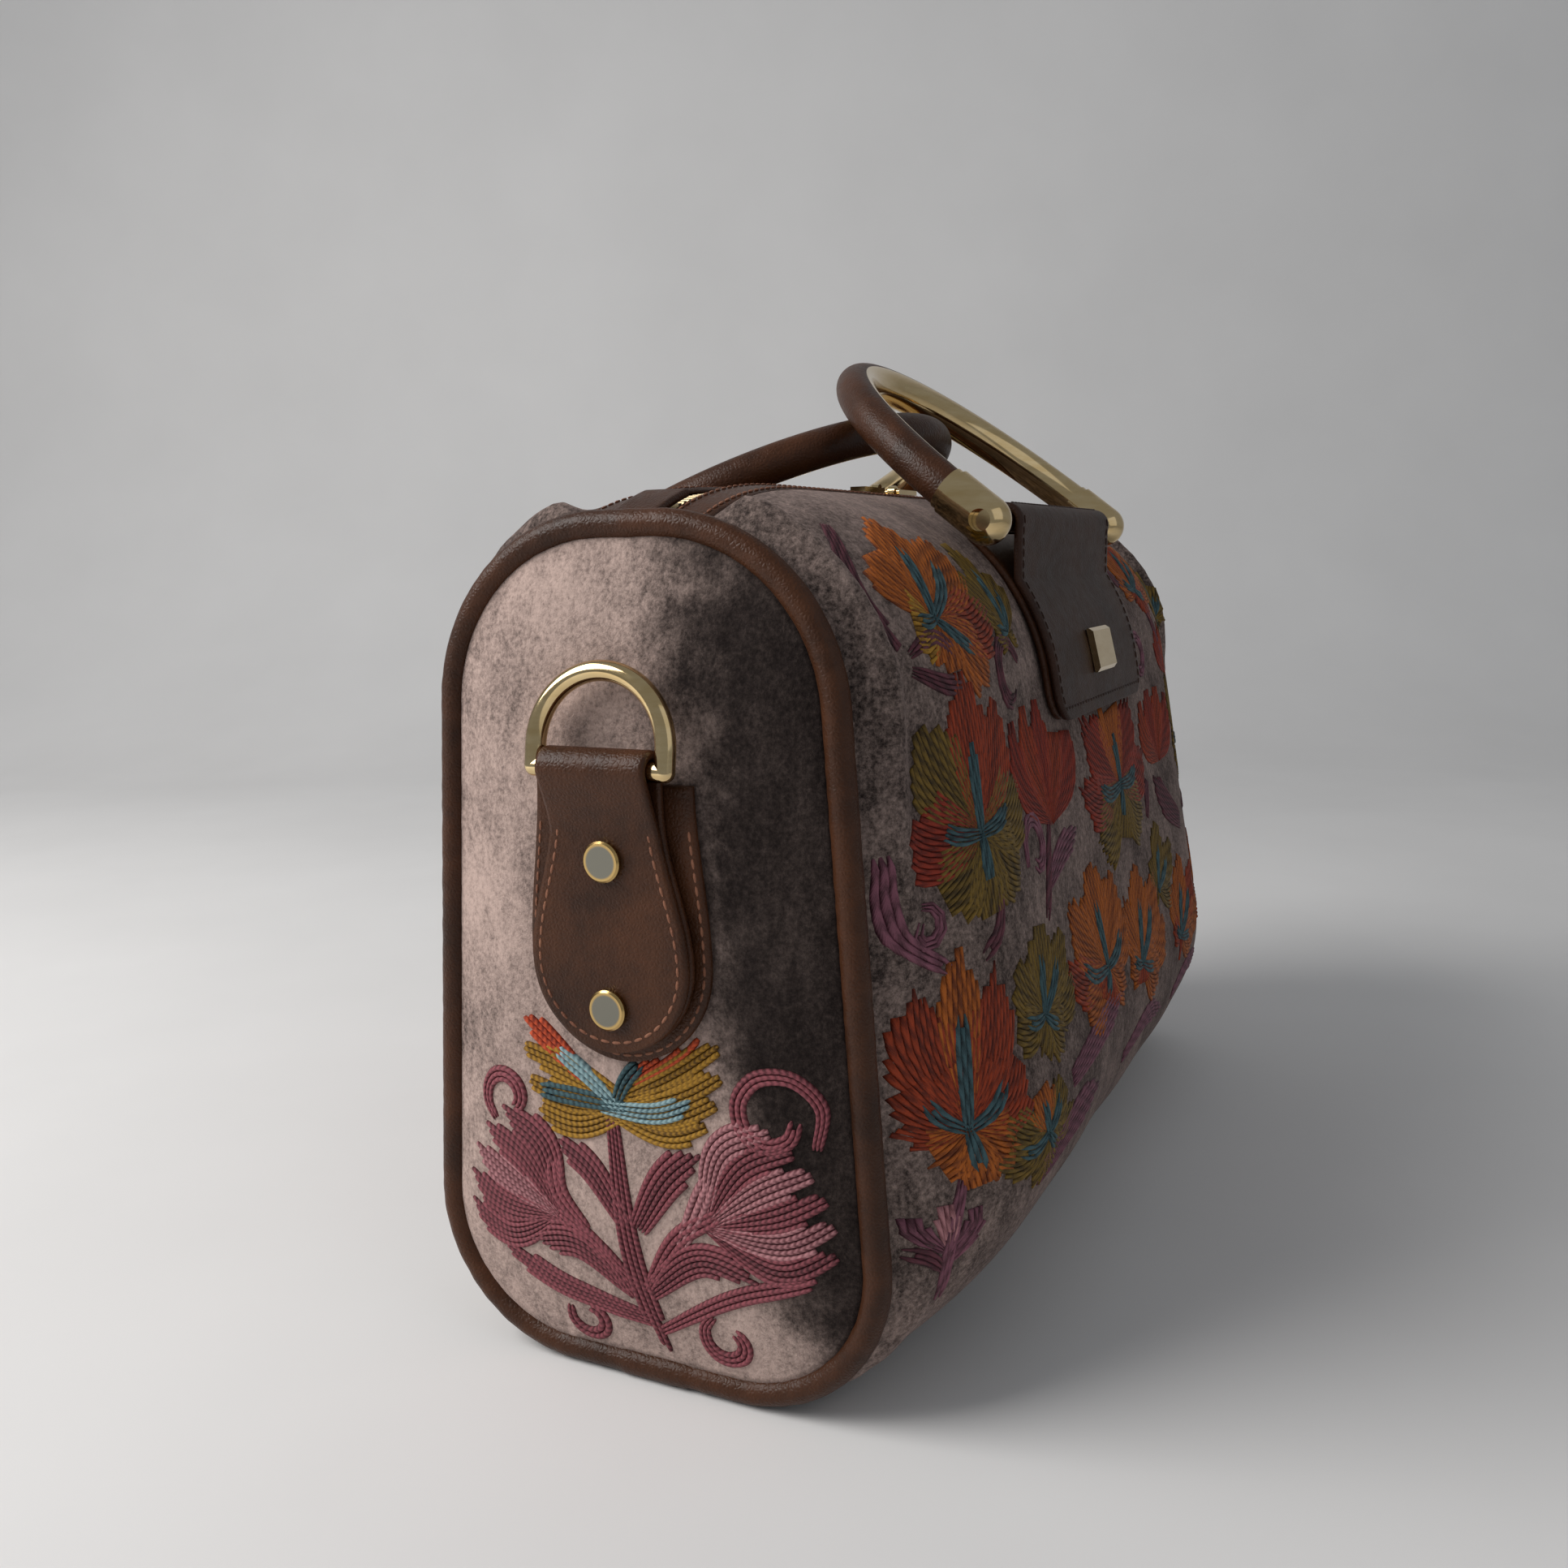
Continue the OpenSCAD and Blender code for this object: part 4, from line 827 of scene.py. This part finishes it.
# %% Zip facings and stops
FACING_IN, FACING_OUT, FACING_DEEP, FACING_ROWS = 6.5, 19.0, 1.8, (9.0, 16.6)
STOP_LENGTH, STOP_RISE = 15, 1.3


def crown_point(x, y, off=0.0):
    """Point of the crown at x and y: on the shoulder arc, moved out along its radius."""
    x, y = np.broadcast_arrays(np.asarray(x, float), np.asarray(y, float))
    hy, hz, hr = side_section(x)[3:6]
    beyond = np.maximum(np.abs(y) - hy, 0)
    lift = np.sqrt(hr ** 2 - beyond ** 2)
    return np.stack([x, y + off * np.sign(y) * beyond / hr, hz + lift * (1 + off / hr)], -1)


def zip_facing(who, sign):
    """Leather beside the zip with rounded edges, and its rows of stitches."""
    flip = np.array([1, sign, 1])
    along, across = np.linspace(-SKIN_END, SKIN_END, 200), np.linspace(FACING_IN, FACING_OUT, 13)
    x, y = np.meshgrid(along, across, indexing="ij")
    inside = np.minimum(np.minimum(y - FACING_IN, FACING_OUT - y) / 0.8, 1)
    off = FACING_DEEP / 2 * (np.sqrt(np.clip(1 - (1 - inside) ** 2, 0, 1)) - 1) + 0.1 * bump_waves(x, y, 8)
    piece = slab(who + "_facing", crown_point(x, y, off) * flip, crown_point(x, y, -FACING_DEEP) * flip)
    dress(piece, leather, "leather", who + "_zip_facing")
    along = np.linspace(-SKIN_END + 2, SKIN_END - 2, 240)
    for k, row in enumerate(FACING_ROWS):
        lean = (crown_point(along, row, 1.0) - crown_point(along, row)) * flip
        thread = stitches(f"{who}_facing_stitch_{k}", crown_point(along, row, 0.15) * flip, lean)
        dress(thread, thread_brown, "leather")


def zip_stop(who, side):
    """Short band across the zip's end, along the crown."""
    x = np.linspace(SKIN_END - STOP_LENGTH, SKIN_END, 24)
    path = np.stack([side * x, 0 * x, crown_point(x, 0.0)[:, 2] + STOP_RISE], 1)
    normal = np.cross(heading(path), ACROSS)
    piece = band(who + "_stop", path, normal * np.sign(normal[:, 2:]), ACROSS, FACING_IN, 13)
    dress(piece, leather, "leather", who + "_zip_stop")


zip_facing("front", -1)
zip_facing("back", 1)
for who, side in ENDS:
    zip_stop(who, side)
print("zip facings and stops")

# %% [markdown]
# Some CAD pieces are right as they are: the metal, the zip, the base and the handles' halves.
# They keep their shape and only get a finish. The lining is a soft sack that nothing shows from outside,
# and it is worked out from the same section as the velvet, a little further in.

# %% Finishes for the CAD pieces
CAD_FINISHES = {
    "base_panel": leather, "base_board": board, "zip_tape": zip_cloth, "zip_chain": zip_metal,
    "front_handle_leather": leather, "back_handle_leather": leather, "front_plate": gold,
    "left_rivets": rivet_metal, "right_rivets": rivet_metal,
}
METAL_WORDS = "slider", "pull", "core", "ferrules", "handle_bar", "d_ring"
for node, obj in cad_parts.items():
    if node in CAD_FINISHES or any(word in node for word in METAL_WORDS):
        for slot in obj.material_slots:
            slot.material = CAD_FINISHES.get(node, gold)


def lining_sack():
    """Rings of the section 2.9 mm or more inside the skin, with the floor at 4.8 mm, closed at both ends
    by rings that shrink to a point."""
    x, v = np.meshgrid(np.linspace(-154.5, 154.5, 64), np.linspace(0, 0.985, 60), indexing="ij")
    folds = 0.5 * np.sin(0.35 * x + 4 * v) * np.sin(np.pi * v)
    half = side_point(x, v, -2.9 - np.abs(folds))
    half[..., 2] = np.maximum(half[..., 2], 4.8)
    ring = np.concatenate([half, half[:, ::-1] * [1, -1, 1]], 1)
    first, last = ring[:1], ring[-1:]
    near, far = first.mean(1, keepdims=True), last.mean(1, keepdims=True)
    rings = np.concatenate([mixed(near, first, 0.0), mixed(near, first, 0.5), ring,
                            mixed(far, last, 0.5), mixed(far, last, 0.0)])
    faces = grid_faces(*rings.shape[:2], False, True)
    return closed_up(to_mesh("lining_sack", rings.reshape(-1, 3), faces))


sack = dress(lining_sack(), lining_cloth, "lining_cloth", "lining")
print("lining and CAD finishes")

# %% [markdown]
# The embroidery is chain stitch in wool: each petal is filled with rows that follow its spine and close in
# at its base, so the edge is stepped where the rows end. An image or a bump map would look flat from the
# side. Here every row is a low ridge of its own, and the wool's finish adds the links and the twist as bumps
# and as painted shade and highlight, and paints shade along the edges of each row, where the rows meet.

# %% Wool


def wool_finish(name, dark, light):
    """Wool: links along the row from a wave that lags towards the row's edges, over a fine twist, as bumps
    and as painted shade and highlight in the colour, with painted shade darkening each row towards its edges.
    Each row has a tone of its own, kept on its points."""
    f = Finish(name, Roughness=0.62, Specular_IOR_Level=0.3,
               Sheen_Weight=0.12, Sheen_Roughness=0.4, Sheen_Tint=colour(light))
    u, v, _ = f.axes("UV")
    side = (u - 0.5).math("ABSOLUTE") * 2
    lag = v - side * 0.45
    link = (lag * (2 * math.pi)).math("SINE")
    twist = (lag * (12 * math.pi)).math("SINE")
    fuzz = f.noise(900, 2, 0.6)
    row = f.node("ShaderNodeAttribute", {"attribute_name": "tone"}, out="Fac")
    # painted shade and highlight: the colour follows the links and the twist, and darkens towards each row's
    # edges
    tone = (link * 0.2 + twist * 0.06 + fuzz * 0.5 + row * 0.8 - side * side * 0.35).clip(0.0, 1.0)
    f.set({"Base Color": f.blend(tone, dark, light)})
    f.bump(link * 0.22 + twist * 0.1 + fuzz * 0.3, 0.5, 0.0005)
    return f.material


WOOL_CODES = {
    "flame": ("6e1c0c", "d2552c"), "orange": ("521f04", "b8621a"), "rust": ("451004", "a33c17"),
    "red": ("3f0a06", "96301a"), "mustard": ("4f3304", "b3852a"), "olive": ("2a1d04", "7d6220"),
    "teal": ("101d21", "45646a"), "sky": ("33505a", "9ab8bc"), "rose": ("3a141a", "98525a"),
    "blush": ("5a2a30", "bd8488"), "plum": ("260e14", "683540"), "mauve": ("3a1a22", "865262"),
}
WOOL = {shade: wool_finish("wool_" + shade, *codes) for shade, codes in WOOL_CODES.items()}
# A shade that isn't named here is its own group
WOOL_GROUP = {"flame": "orange", "red": "rust", "olive": "mustard", "sky": "teal", "blush": "rose",
              "mauve": "plum"}
print(len(WOOL), "colours of wool")

# %% [markdown]
# One row is a small arch carried along a line on the surface, and a petal is a bundle of such rows beside
# its spine. A particle system could scatter stitches, but rows that know their petal can end in steps.

# %% Rows of chain stitch
ROW_A = np.array([-1.0, -0.55, 0.0, 0.55, 1.0, 0.6, 0.0, -0.6])
ROW_TOP, ROW_DEEP, ROW_LAG = 5, -0.35, 0.45
ROW_CAP = np.array([[0, 1, 6, 7], [1, 2, 5, 6], [2, 3, 4, 5]])
PETAL_FULL, VEIN_RISE = 0.72, 1.7


def curve_through(points, count):
    """Smooth line through a few points: cubic pieces whose slopes come from the neighbours."""
    p = np.array(points, float)
    p = np.concatenate([[2 * p[0] - p[1]], p, [2 * p[-1] - p[-2]]])
    t = np.linspace(0, 1, 14, endpoint=False)[:, None]
    a, b, c, d = p[:-3, None], p[1:-2, None], p[2:-1, None], p[3:, None]
    q = 0.5 * (2 * b + (c - a) * t + (2 * a - 5 * b + 4 * c - d) * t ** 2 + (3 * b - a - 3 * c + d) * t ** 3)
    return spaced(np.concatenate([q.reshape(-1, 2), p[-2:-1]]), count, False)


def left_of(line):
    """Direction to the left of a flat line at each of its points."""
    return heading(line)[:, ::-1] * [-1, 1]


def row_ridge(centre, half, on, high, link, seed):
    """Points and UVs of one row: across each point of its line a low arch on the surface,
    high * sqrt(1 - a^2), pressed into links by a wave along the row that lags towards its edges."""
    run = (run_of(centre) / link + seed * 0.37)[:, None]
    flat = centre[:, None] + left_of(centre)[:, None] * (half[:, None] * ROW_A)[..., None]
    wave = 1 + 0.04 * np.sin(2 * np.pi * (run - ROW_LAG * np.abs(ROW_A)))
    lift = high * np.sqrt(np.clip(1 - ROW_A ** 2, 0, 1)) * wave
    lift[:, ROW_TOP:] = ROW_DEEP
    lift *= np.minimum(1, half / np.maximum(half.max(), 1e-6))[:, None] ** 0.5
    uv = np.stack(np.broadcast_arrays((ROW_A + 1) / 2, run), -1)
    return on(flat[..., 0], flat[..., 1], lift), uv


def petal_rows(width, points, base, pitch, step):
    """Lines, half widths and places (0 in the middle, 1 at the edge) of the rows that fill one petal.
    From the share base its width opens as a sine to PETAL_FULL of the way and closes a little again.
    Outer rows stop earlier, and the row ends step like teeth."""
    length = np.linalg.norm(np.diff(np.array(points, float), axis=0), axis=1).sum()
    count = max(int(length / step), 6)
    spine = curve_through(points, count)
    across = left_of(spine)
    rows = max(1, round(width / pitch))
    t = np.linspace(0, 1, count)
    swell = base + (1 - base) * np.sin(np.pi / 2 * np.minimum(t / PETAL_FULL, 1))
    swell = width * swell * (1 - 0.3 * np.clip((t - PETAL_FULL) / (1 - PETAL_FULL), 0, 1) ** 2)
    for k in range(rows):
        o = (k - (rows - 1) / 2) / rows
        last = 1 - (0.3 * abs(2 * o) ** 1.6 + 0.03 * (k % 3) if rows > 3 else 0.02 * (k % 2))
        keep = t <= last
        if keep.sum() < 4:
            continue
        line = spine[keep] + across[keep] * (o * swell[keep])[:, None]
        ends = np.minimum(t[keep], last - t[keep]) * length
        half = swell[keep] / rows * 0.56 * np.sqrt(np.clip((ends + 0.25) / (0.8 * pitch), 0.05, 1))
        yield line, half, abs(2 * o) if rows > 3 else 1.0


def outwards(obj):
    """Turns all faces round if the mesh's signed volume, a sum of a . (b x c) / 6, is negative."""
    mesh = obj.data
    corner = np.empty(len(mesh.vertices) * 3, np.float32)
    mesh.vertices.foreach_get("co", corner)
    face = np.empty(len(mesh.polygons) * 4, np.int32)
    mesh.polygons.foreach_get("vertices", face)
    p = corner.reshape(-1, 3).astype(float)[face.reshape(-1, 4)]
    p -= p.mean((0, 1))
    volume = sum((p[:, 0] * np.cross(p[:, i], p[:, i + 1])).sum() for i in (1, 2))
    if volume < 0:
        mesh.flip_normals()


def longest_run(keep):
    """Slice of the longest stretch of True values."""
    edge = np.flatnonzero(np.diff(np.r_[False, keep, False]))
    if not len(edge):
        return slice(0, 0)
    k = int(np.argmax(edge[1::2] - edge[::2]))
    return slice(edge[2 * k], edge[2 * k + 1])


def wool_piece(name, rows):
    """One mesh of many rows, each closed at both ends, with each row's tone kept on its points."""
    ring, faces, start = len(ROW_A), [], 0
    for points, _, _ in rows:
        caps = ROW_CAP, ROW_CAP[:, ::-1] + (len(points) - 1) * ring
        faces.append(np.concatenate([grid_faces(len(points), ring, False, True), *caps]) + start)
        start += len(points) * ring
    corners = np.concatenate([points.reshape(-1, 3) for points, _, _ in rows])
    uv = np.concatenate([pairs.reshape(-1, 2) for _, pairs, _ in rows])
    tones = np.concatenate([np.full(points[..., 0].size, tone, np.float32) for points, _, tone in rows])
    obj = to_mesh(name, corners, np.concatenate(faces), uv)
    obj.data.attributes.new("tone", "FLOAT", "POINT").data.foreach_set("value", tones)
    outwards(obj)
    return obj


def embroider(tag, strokes, on, clear, pitch, step, high, link):
    """Makes one piece for each colour of wool from a list of (colour, width, spine points, base share).
    A row stops where the surface isn't clear. Veins lie over the other wool, so they stand higher."""
    made, count, rng = {}, 0, np.random.default_rng(2)
    for shade, width, points, base in strokes:
        tall = high * VEIN_RISE if WOOL_GROUP.get(shade, shade) == "teal" else high
        for line, half, edge in petal_rows(width, points, base, pitch, step):
            free = longest_run(clear(line[:, 0], line[:, 1]))
            if free.stop - free.start > 3:
                tone = 0.3 + 0.2 * np.clip(edge / 0.6, 0, 1) + rng.uniform(-0.12, 0.12)
                ridge = row_ridge(line[free], half[free], on, tall, link, count)
                made.setdefault(shade, []).append((*ridge, tone))
                count += 1
    stood_for = set()
    for shade, rows in made.items():
        group = WOOL_GROUP.get(shade, shade)
        nodes = {f"{tag}_embroidery_{group}"} & set(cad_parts) - stood_for
        stood_for |= nodes
        dress(wool_piece(f"{tag}_wool_{shade}", rows), WOOL[shade], "thread_" + group, *nodes)
    print(tag, count, "rows of chain stitch in", len(made), "colours")


print("row tools ready")

# %% [markdown]
# The pattern is the traditional flowering branch of hill-country wool work: a palmette and two tulips on one
# stem at the ends, plane leaves with blue veins, tulips and scrolls on the sides. Every petal could be drawn
# by hand, but a leaf, a tulip, a fan and a scroll each follow a rule, so the pattern is a short list of
# where they are, in millimetres: across and up on an end, along the bag and up its skin from the base seam
# on a side.

# %% Leaves, tulips and scrolls
FAN, EVEN = 0.16, 0.55


def petal(start, tip, bow=0.0):
    """Three points of a petal's spine, bowed to one side by a share of its length."""
    start, tip = np.array(start, float), np.array(tip, float)
    way = tip - start
    return [start, start + 0.55 * way + bow * np.array([-way[1], way[0]]), tip]


def leaf(heart, middle, size, shades, vein="teal"):
    """Plane leaf: lobes that fan out from its heart to tips spaced round an ellipse, one for each shade,
    anticlockwise from the top one, and each as wide as its share of the rim.
    Veins lie along every second lobe."""
    turn = np.pi / 2 + 2 * np.pi * np.arange(len(shades)) / len(shades)
    rim = np.array(middle) + np.array(size) * ray(turn)
    wide = np.linalg.norm(np.roll(rim, -1, 0) - np.roll(rim, 1, 0), axis=1) / 2
    bows = -0.1 * np.cos(turn)
    heart = np.array(heart, float)
    for shade, tip, width, bow in zip(shades, rim, wide, bows):
        yield shade, width, petal(heart, tip, bow), FAN
    for tip, bow in zip(rim[::2], bows[::2]):
        yield vein, 0.05 * sum(size) + 2, petal(heart, heart + 0.6 * (tip - heart), bow), EVEN


def tulip(base, width, length, turn, petals, shades):
    """Tulip: petals side by side that fan out from one base.
    The outer ones bow outwards and are a little shorter."""
    across, up = ray(np.radians(turn)), ray(np.radians(turn + 90))
    for k in range(petals):
        u = k / (petals - 1) - 0.5
        tip = np.array(base) + u * width * across + (1 - 0.5 * u * u) * length * up
        yield shades[k % len(shades)], 1.5 * width / petals, petal(base, tip, -0.45 * u), FAN


def scroll(shade, width, middle, radius, start, sweep):
    """Spiral stem end: from the radius in to 0.45 of it while it turns through the sweep, in degrees."""
    t = np.linspace(0, 1, 9)
    line = np.array(middle) + radius * (1 - 0.55 * t)[:, None] * ray(np.radians(start + sweep * t))
    yield shade, width, list(line), EVEN


def leaflets(shade, *places):
    """Leaflets and stems of one shade: each is its width, its start, its tip and its bow."""
    for width, start, tip, bow in places:
        yield shade, width, petal(start, tip, bow), EVEN


def fan(shade, width, heart, count, turns, reaches, bows):
    """Petals spread from one heart: turn in degrees, reach and bow go evenly from the first to the last."""
    for turn, reach, bow in zip(*(np.linspace(*ends, count) for ends in (turns, reaches, bows))):
        yield shade, width, petal(heart, np.array(heart) + reach * ray(np.radians(turn)), bow), EVEN


print("motif tools ready")

# %% [markdown]
# An end has one branch: a stem with leaflets, a tulip on each side, the palmette's fans under the strap,
# and four scrolls beside them.

# %% Pattern of the ends
end_pattern = [
    *leaflets("rose", (6.5, (5, 74), (-7, 6), 0.04), (10, (-1, 45), (-20, 69), -0.07),
              (8, (2, 45), (23, 66), 0.1), (5.5, (14, 42), (23, 60), -0.15), (10.5, (1, 27), (33, 35), 0.2),
              (9.5, (-2, 27), (-35, 37), -0.22), (7.5, (-3, 19), (45, 32), -0.05),
              (5, (-4, 16), (-47, 39), -0.05), (4.5, (2, 25), (23, 45), 0.1), (5, (-2, 28), (-24, 53), -0.1)),
    *leaflets("blush", (5.5, (-13, 42), (-22, 62), 0)),
    *tulip((22, 44), 33, 32, -64, 5, ("rose", "rose", "blush")),
    *tulip((-20, 49), 33, 36, 63, 6, ("rose", "blush")),
    *leaflets("flame", (6.5, (10, 81), (31, 98), 0), (6.5, (-1, 84), (-22, 103), 0.05)),
    *fan("mustard", 8, (-1, 77), 3, (-8, 19), (30, 36), (-0.15, 0.03)),
    *fan("mustard", 8, (7, 76), 4, (178, 148), (31, 41), (0.15, 0.03)),
    *leaflets("teal", (5.5, (0, 77), (26, 78), 0), (4.5, (4, 76), (-4, 89), -0.07)),
    *leaflets("sky", (4.5, (1, 75), (20, 89), 0.03), (6, (8, 76), (-20, 82), 0.09)),
    *scroll("rose", 4.5, (37, 74), 8, -58, 290), *scroll("rose", 4.5, (-39, 80), 12.5, 215, -390),
    *scroll("rose", 4, (17, 15), 6.5, 23, -300), *scroll("rose", 4.5, (-24, 18), 7.5, 60, -300),
]
print(len(end_pattern), "strokes on each end")

# %% [markdown]
# A side has plane leaves and tulips over its whole length, with stems and scrolls between them.
# The lobes of a leaf are given as a run of shades, so that a leaf can turn from rust to olive.

# %% Pattern of the sides
OLIVE, ORANGE, RUST, RED = ("olive",), ("orange",), ("rust",), ("red",)
side_pattern = [
    *leaflets("plum", (6.5, (-133, 248), (-140, 204), -0.2), (5, (-139, 207), (-118, 203), 0.2),
              (5.5, (-140, 203), (-117, 195), -0.07), (5, (-115, 144), (-127, 128), 0.2),
              (4.5, (-67, 152), (-83, 127), 0), (14, (104, 122), (68, 145), 0.05),
              (4.5, (-148, 50), (-157, 55), -0.1), (6, (116, 126), (146, 130), 0),
              (6, (52, 132), (60, 148), 0), (6, (66, 238), (90, 214), -0.15), (5, (118, 182), (104, 208), 0)),
    *leaflets("mauve", (5, (-156, 162), (-140, 128), -0.2), (9, (-76, 136), (-40, 145), 0.03),
              (10, (-83, 82), (-15, 88), 0), (12, (-113, 66), (-50, 70), 0.03),
              (9, (-12, 64), (50, 62), 0.08), (9, (68, 62), (128, 60), 0.08),
              (4, (-143, 74), (-146, 40), -0.07), (6.5, (-147, 52), (-138, 61), 0.05)),
    *scroll("plum", 5.5, (-82, 194), 11, 20, 330), *scroll("mauve", 4, (-146, 140), 6, 100, -330),
    *scroll("mauve", 5, (-84, 147), 10, 200, -330), *scroll("mauve", 5, (74, 188), 10, 200, -330),
    *leaf((-74, 206), (-78, 222), (14, 17), OLIVE * 5),
    *leaf((-122, 213), (-108, 221), (27, 28), ORANGE * 2 + ("mustard",) + ORANGE * 2 + RUST + ORANGE),
    *leaf((-121, 158), (-120, 168), (31, 34), RUST + OLIVE + RED + OLIVE * 4 + RUST),
    *leaf((-140, 86), (-137, 102), (20, 34), ORANGE + RUST * 2 + ORANGE * 3 + RUST * 2),
    *leaf((18, 149), (14, 156), (48, 28), ORANGE + RED * 2 + OLIVE * 3 + RED * 2),
    *leaf((-30, 99), (-36, 111), (38, 24), ORANGE * 2 + RUST + ORANGE + RUST + ORANGE * 3),
    *leaf((-96, 104), (-92, 112), (27, 19), OLIVE * 7),
    *leaf((-108, 76), (-110, 79), (27, 12), ORANGE + OLIVE * 6),
    *leaf((12, 89), (25, 101), (31, 22), ORANGE * 3 + RUST + ORANGE * 3),
    *leaf((52, 106), (64, 116), (18, 15), OLIVE * 5),
    *leaf((77, 82), (92, 95), (26, 18), ORANGE * 2 + RUST * 2 + ORANGE * 2 + RUST),
    *leaf((100, 213), (106, 225), (25, 19), RUST + ORANGE * 2 + RUST * 2 + ORANGE * 2),
    *leaf((138, 151), (134, 163), (20, 30), RUST + OLIVE * 6),
    *leaf((138, 86), (137, 98), (19, 28), ORANGE * 2 + RUST * 2 + ORANGE * 2 + RUST),
    *tulip((-64, 151), 50, 38, -2, 5, ("red", "rust")), *tulip((86, 149), 44, 30, 0, 4, ("rust", "red")),
    *leaf((142, 203), (138, 214), (16, 20), OLIVE * 5), *tulip((118, 180), 22, 20, -4, 3, ("red", "rust")),
    *tulip((-147, 54), 14, 17, 4, 3, ("mauve", "blush")),
]
print(len(side_pattern), "strokes on each side")

# %% [markdown]
# Each face has a function that lays the flat pattern on its velvet, swell and all, so the wool follows every
# wave. The back and the far end are turned half round, as the two faces of a real bag are cut alike.
# The face that the camera is nearest to gets the closest points.

# %% Rows on the bag


def on_left(y, z, off):
    return np.stack([-(dome_x(y, z) + end_swell(y, z, LEFT_SEED) + off), y, z], -1)


def on_right(y, z, off):
    return np.stack([dome_x(-y, z) + end_swell(-y, z, RIGHT_SEED) + off, -y, z], -1)


def on_front(x, s, off):
    return side_point(x, s / ARC_MID, side_swell(x, s / ARC_MID, FRONT_SEED) + off) * [1, -1, 1]


def on_back(x, s, off):
    return side_point(-x, s / ARC_MID, side_swell(-x, s / ARC_MID, BACK_SEED) + off)


def off_patch(y, z):
    """True beside the ring strap's patch and below it."""
    beside = np.abs(y) > tongue_half(z, PATCH_TOP, PATCH_TOP_HALF, PATCH_HALF) + 1
    return beside | (z < STRAP_Z - PATCH_HALF - 1)


def off_tab(x, s):
    """True outside the handle's tab, and short of the velvet's edges."""
    height = side_point(x, s / ARC_MID)[..., 2]
    return ((np.abs(x) > TAB_HALF + 1) | (height < TAB_LOW - 1)) & (np.abs(x) < SKIN_END - 2)


embroider("left", end_pattern, on_left, off_patch, pitch=1.6, step=0.9, high=0.8, link=1.7)
embroider("right", end_pattern, on_right, off_patch, pitch=1.9, step=1.4, high=0.8, link=1.7)
embroider("front", side_pattern, on_front, off_tab, pitch=1.5, step=2.8, high=0.55, link=7)
embroider("back", side_pattern, on_back, off_tab, pitch=1.8, step=4.0, high=0.6, link=7)
